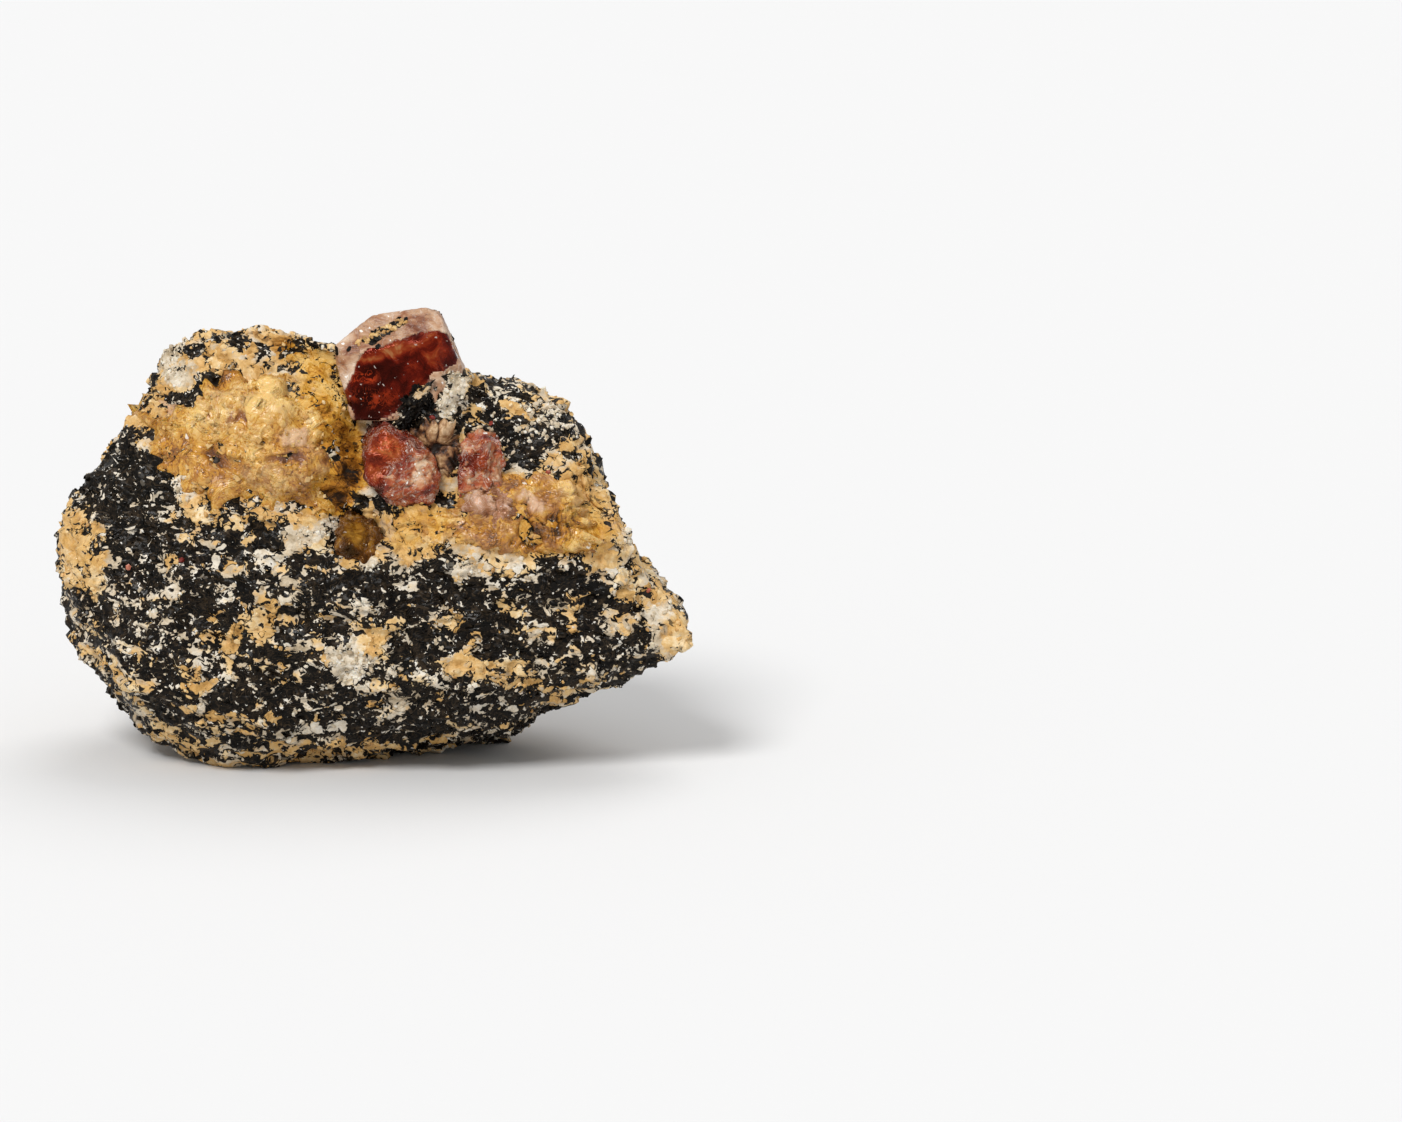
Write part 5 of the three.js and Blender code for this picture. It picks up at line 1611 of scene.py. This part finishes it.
def makeKnob():
    # An oval lump: each direction times its half-lengths and a noisy factor, turned in the plane that faces forwards.
    directions, faces = boxSphere(knob["cells"])
    swelling = 1 + knob["rough"] * layered(directions * 3, 2.2, knob["seed"], 3, 0.6)
    points = directions * np.array(knob["half"]) * swelling[:, None]
    points[:, 0], points[:, 2] = turned(points[:, 0], points[:, 2], knob["turn"])
    points += np.array(knob["middle"])
    points += cornerNormals(points, faces) * (0.3 * grainCells(points, 1.2, 5)[2])[:, None]
    dark = 0.15 + 0.5 * layered(points, 2.0, 75, 3)
    values = {"dark": dark, "ochre": 0.4 * layered(points, 2.6, 77, 2) - 0.15, "honey": np.zeros(len(points))}
    dress(putMesh("micaKnob", points + shift, faces, True, values), gneissMaterial, None)
    numbers, count = np.random.default_rng(knob["seed"]), knob["flakes"] // fewer
    spots, up = spotsOn(points, faces, easeStep(dark, -0.1, 0.3), count, numbers)
    size = numbers.uniform(*knob["size"], count)
    sizes = np.stack([size * 2.4, size * 0.8, numbers.uniform(*knob["thick"], count)], 1)
    up = unit(up + 0.35 * numbers.normal(size=up.shape))
    frames = turnedFrames(up, np.array(knob["along"]) + 0.6 * numbers.normal(size=up.shape))
    tone = numbers.random(count) ** 2
    strew("knobFlakes", micaMaterial, plate, spots, frames, sizes, 0.12, numbers, tone)


flecks = {
    # u, v, half-widths and turn as that side is seen, then how many dark and how many ochre ones
    "front": [(1.0, 41.1, 2.6, 0.35, 27, 44, 60), (0.2, 40.1, 0.7, 0.4, 20, 12, 0)],
    "back": [(5.4, 42.9, 2.3, 0.8, 14, 120, 60), (7.5, 37.5, 0.5, 1.0, 0, 50, 0), (2.4, 41.0, 1.2, 0.5, -20, 30, 10)],
    "size": (0.12, 0.3),
    "seed": 81,
}


def makeFlecks():
    points, faces = crystalPoints["zirconMain"]
    outwards = cornerNormals(points, faces)
    numbers = np.random.default_rng(flecks["seed"])
    for kind, name, shape, material, thick in (
        (5, "crownMica", plate, micaMaterial, 0.25), (6, "crownOchre", ball, ochreMaterial, 0.6),
    ):
        found = []
        for side, way in (("front", 1), ("back", -1)):
            facing = easeStep(-way * outwards[:, 1], 0.35, 0.55)
            for patch in flecks[side]:
                if patch[kind]:
                    weight = facing * patchSum(points[:, 0], seenHeight(points, way), [(*patch[:5], 1.0)], 1)[0]
                    found.append(spotsOn(points, faces, weight, patch[kind], numbers))
        spots, up = (np.concatenate(part) for part in zip(*found))
        count = len(spots)
        sizes = numbers.uniform(*flecks["size"], count)[:, None] * np.array([1.5, 1.0, thick])
        frames = turnedFrames(unit(up + 0.15 * numbers.normal(size=up.shape)), numbers.normal(size=up.shape))
        tone = numbers.random(count) ** 2
        strew(name, material, shape, spots + up * 0.05, frames, sizes, 0.14, numbers, tone)


coloured = {
    # x and z on the front, size and tone
    "spots": [
        (-24.7, 20.6, 0.34, 0.8), (-18.4, 21.9, 0.36, 0.05), (28.2, 18.4, 0.28, 0.6), (5.9, 35.9, 0.32, 0.1),
        (17.6, 30.4, 0.28, 0.4), (16.0, 27.9, 0.34, 0.3), (11.6, 34.6, 0.34, 0.3), (8.9, 28.4, 0.22, 0.4),
    ],
    "seed": 91,
}


def makeColoured():
    numbers = np.random.default_rng(coloured["seed"])
    rows = np.array(coloured["spots"])
    spots = skinAt(rows[:, 0], rows[:, 1], -1)
    up = unit(spots - centre)
    frames = turnedFrames(unit(up + 0.3 * numbers.normal(size=up.shape)), numbers.normal(size=up.shape))
    sizes = rows[:, 2:3] * numbers.uniform(0.7, 1.2, (len(rows), 3))
    lifted = spots + up * 0.15
    strew("redGrains", redMaterial, ball, lifted, frames, sizes, 0.12, numbers, rows[:, 3])


makeKnob()
makeFlecks()
makeColoured()
print("knob, flecks and coloured grains done")

# ---- floor, camera and light
studio = {
    # the camera: the picture's width and the camera's distance in mm, the height of the picture's middle as seen, how
    # far to the side it looks and its sensor's width; it looks down by viewRise
    "pictureWide": 140.2,
    "distance": 1600,
    "middleV": 18.35,
    "sideways": 32.8,
    "sensor": 36,
    # the floor's half-width in mm, depth under the object and grey; the surround's strength as light and as seen
    "floorHalf": 9000.0,
    "floorDepth": 0.02,
    "floorGrey": 0.755,
    "surround": 0.5,
    "seenPale": 0.93,
    # compass angle from +X that the light comes from, height, width of the light and strength
    "suns": {"keySun": (-122, 48, 22, 2.15), "topSun": (64, 58, 40, 0.9)},
}


def aim(thing, turn):
    thing.rotation_mode = "QUATERNION"
    thing.rotation_quaternion = turn
    bpy.context.scene.collection.objects.link(thing)


def makeFloor():
    half, depth, grey = studio["floorHalf"], studio["floorDepth"], studio["floorGrey"]
    corners = [(-half, -half, -depth), (half, -half, -depth), (half, half, -depth), (-half, half, -depth)]
    floor = putMesh("floor", np.array(corners), [(0, 1, 2, 3)])
    material, tree, shader = newMaterial("paleFloor")[:3]
    feed(tree, shader, Base_Color=(grey, grey, grey, 1), Roughness=0.9, Specular_IOR_Level=0.1)
    floor.data.materials.append(material)


def makeSurround():
    # The surround lights at its own strength and is seen as pale as the floor.
    world = bpy.data.worlds.new("studio")
    bpy.context.scene.world = world
    world.use_nodes = True
    tree = world.node_tree
    seen = addNode(tree, "LightPath").outputs["Is Camera Ray"]
    strength = addUp(tree, studio["surround"], (seen, studio["seenPale"] - studio["surround"]))
    feed(tree, tree.nodes["Background"], Color=(1, 1, 1, 1), Strength=strength)


def makeSuns():
    for name, (compass, height, spread, strength) in studio["suns"].items():
        light = bpy.data.lights.new(name, "SUN")
        light.energy, light.angle = strength, math.radians(spread)
        away = -Vector(compassWay(compass, height))
        aim(bpy.data.objects.new(name, light), away.to_track_quat("-Z", "Y"))


def makeCamera():
    # The camera looks at a point above the origin and is then turned a little to the right, so that the object
    # stands left of the picture's middle.
    data = bpy.data.cameras.new("mainCamera")
    data.sensor_width = studio["sensor"]
    data.lens = studio["sensor"] * studio["distance"] / studio["pictureWide"]
    data.clip_start, data.clip_end = 0.01, 50
    camera = bpy.data.objects.new("mainCamera", data)
    ahead = Vector((0, math.cos(viewRise), -math.sin(viewRise)))
    target = Vector((0, 0, studio["middleV"] / math.cos(viewRise)))
    camera.location = (target - ahead * studio["distance"]) * mm
    yaw = Matrix.Rotation(-math.atan(studio["sideways"] / studio["distance"]), 4, "Y")
    aim(camera, (ahead.to_track_quat("-Z", "Y").to_matrix().to_4x4() @ yaw).to_quaternion())
    bpy.context.scene.camera = camera


bpy.context.scene.view_settings.view_transform = "Standard"
bpy.context.scene.view_settings.look = "None"
makeFloor()
makeSurround()
makeSuns()
makeCamera()
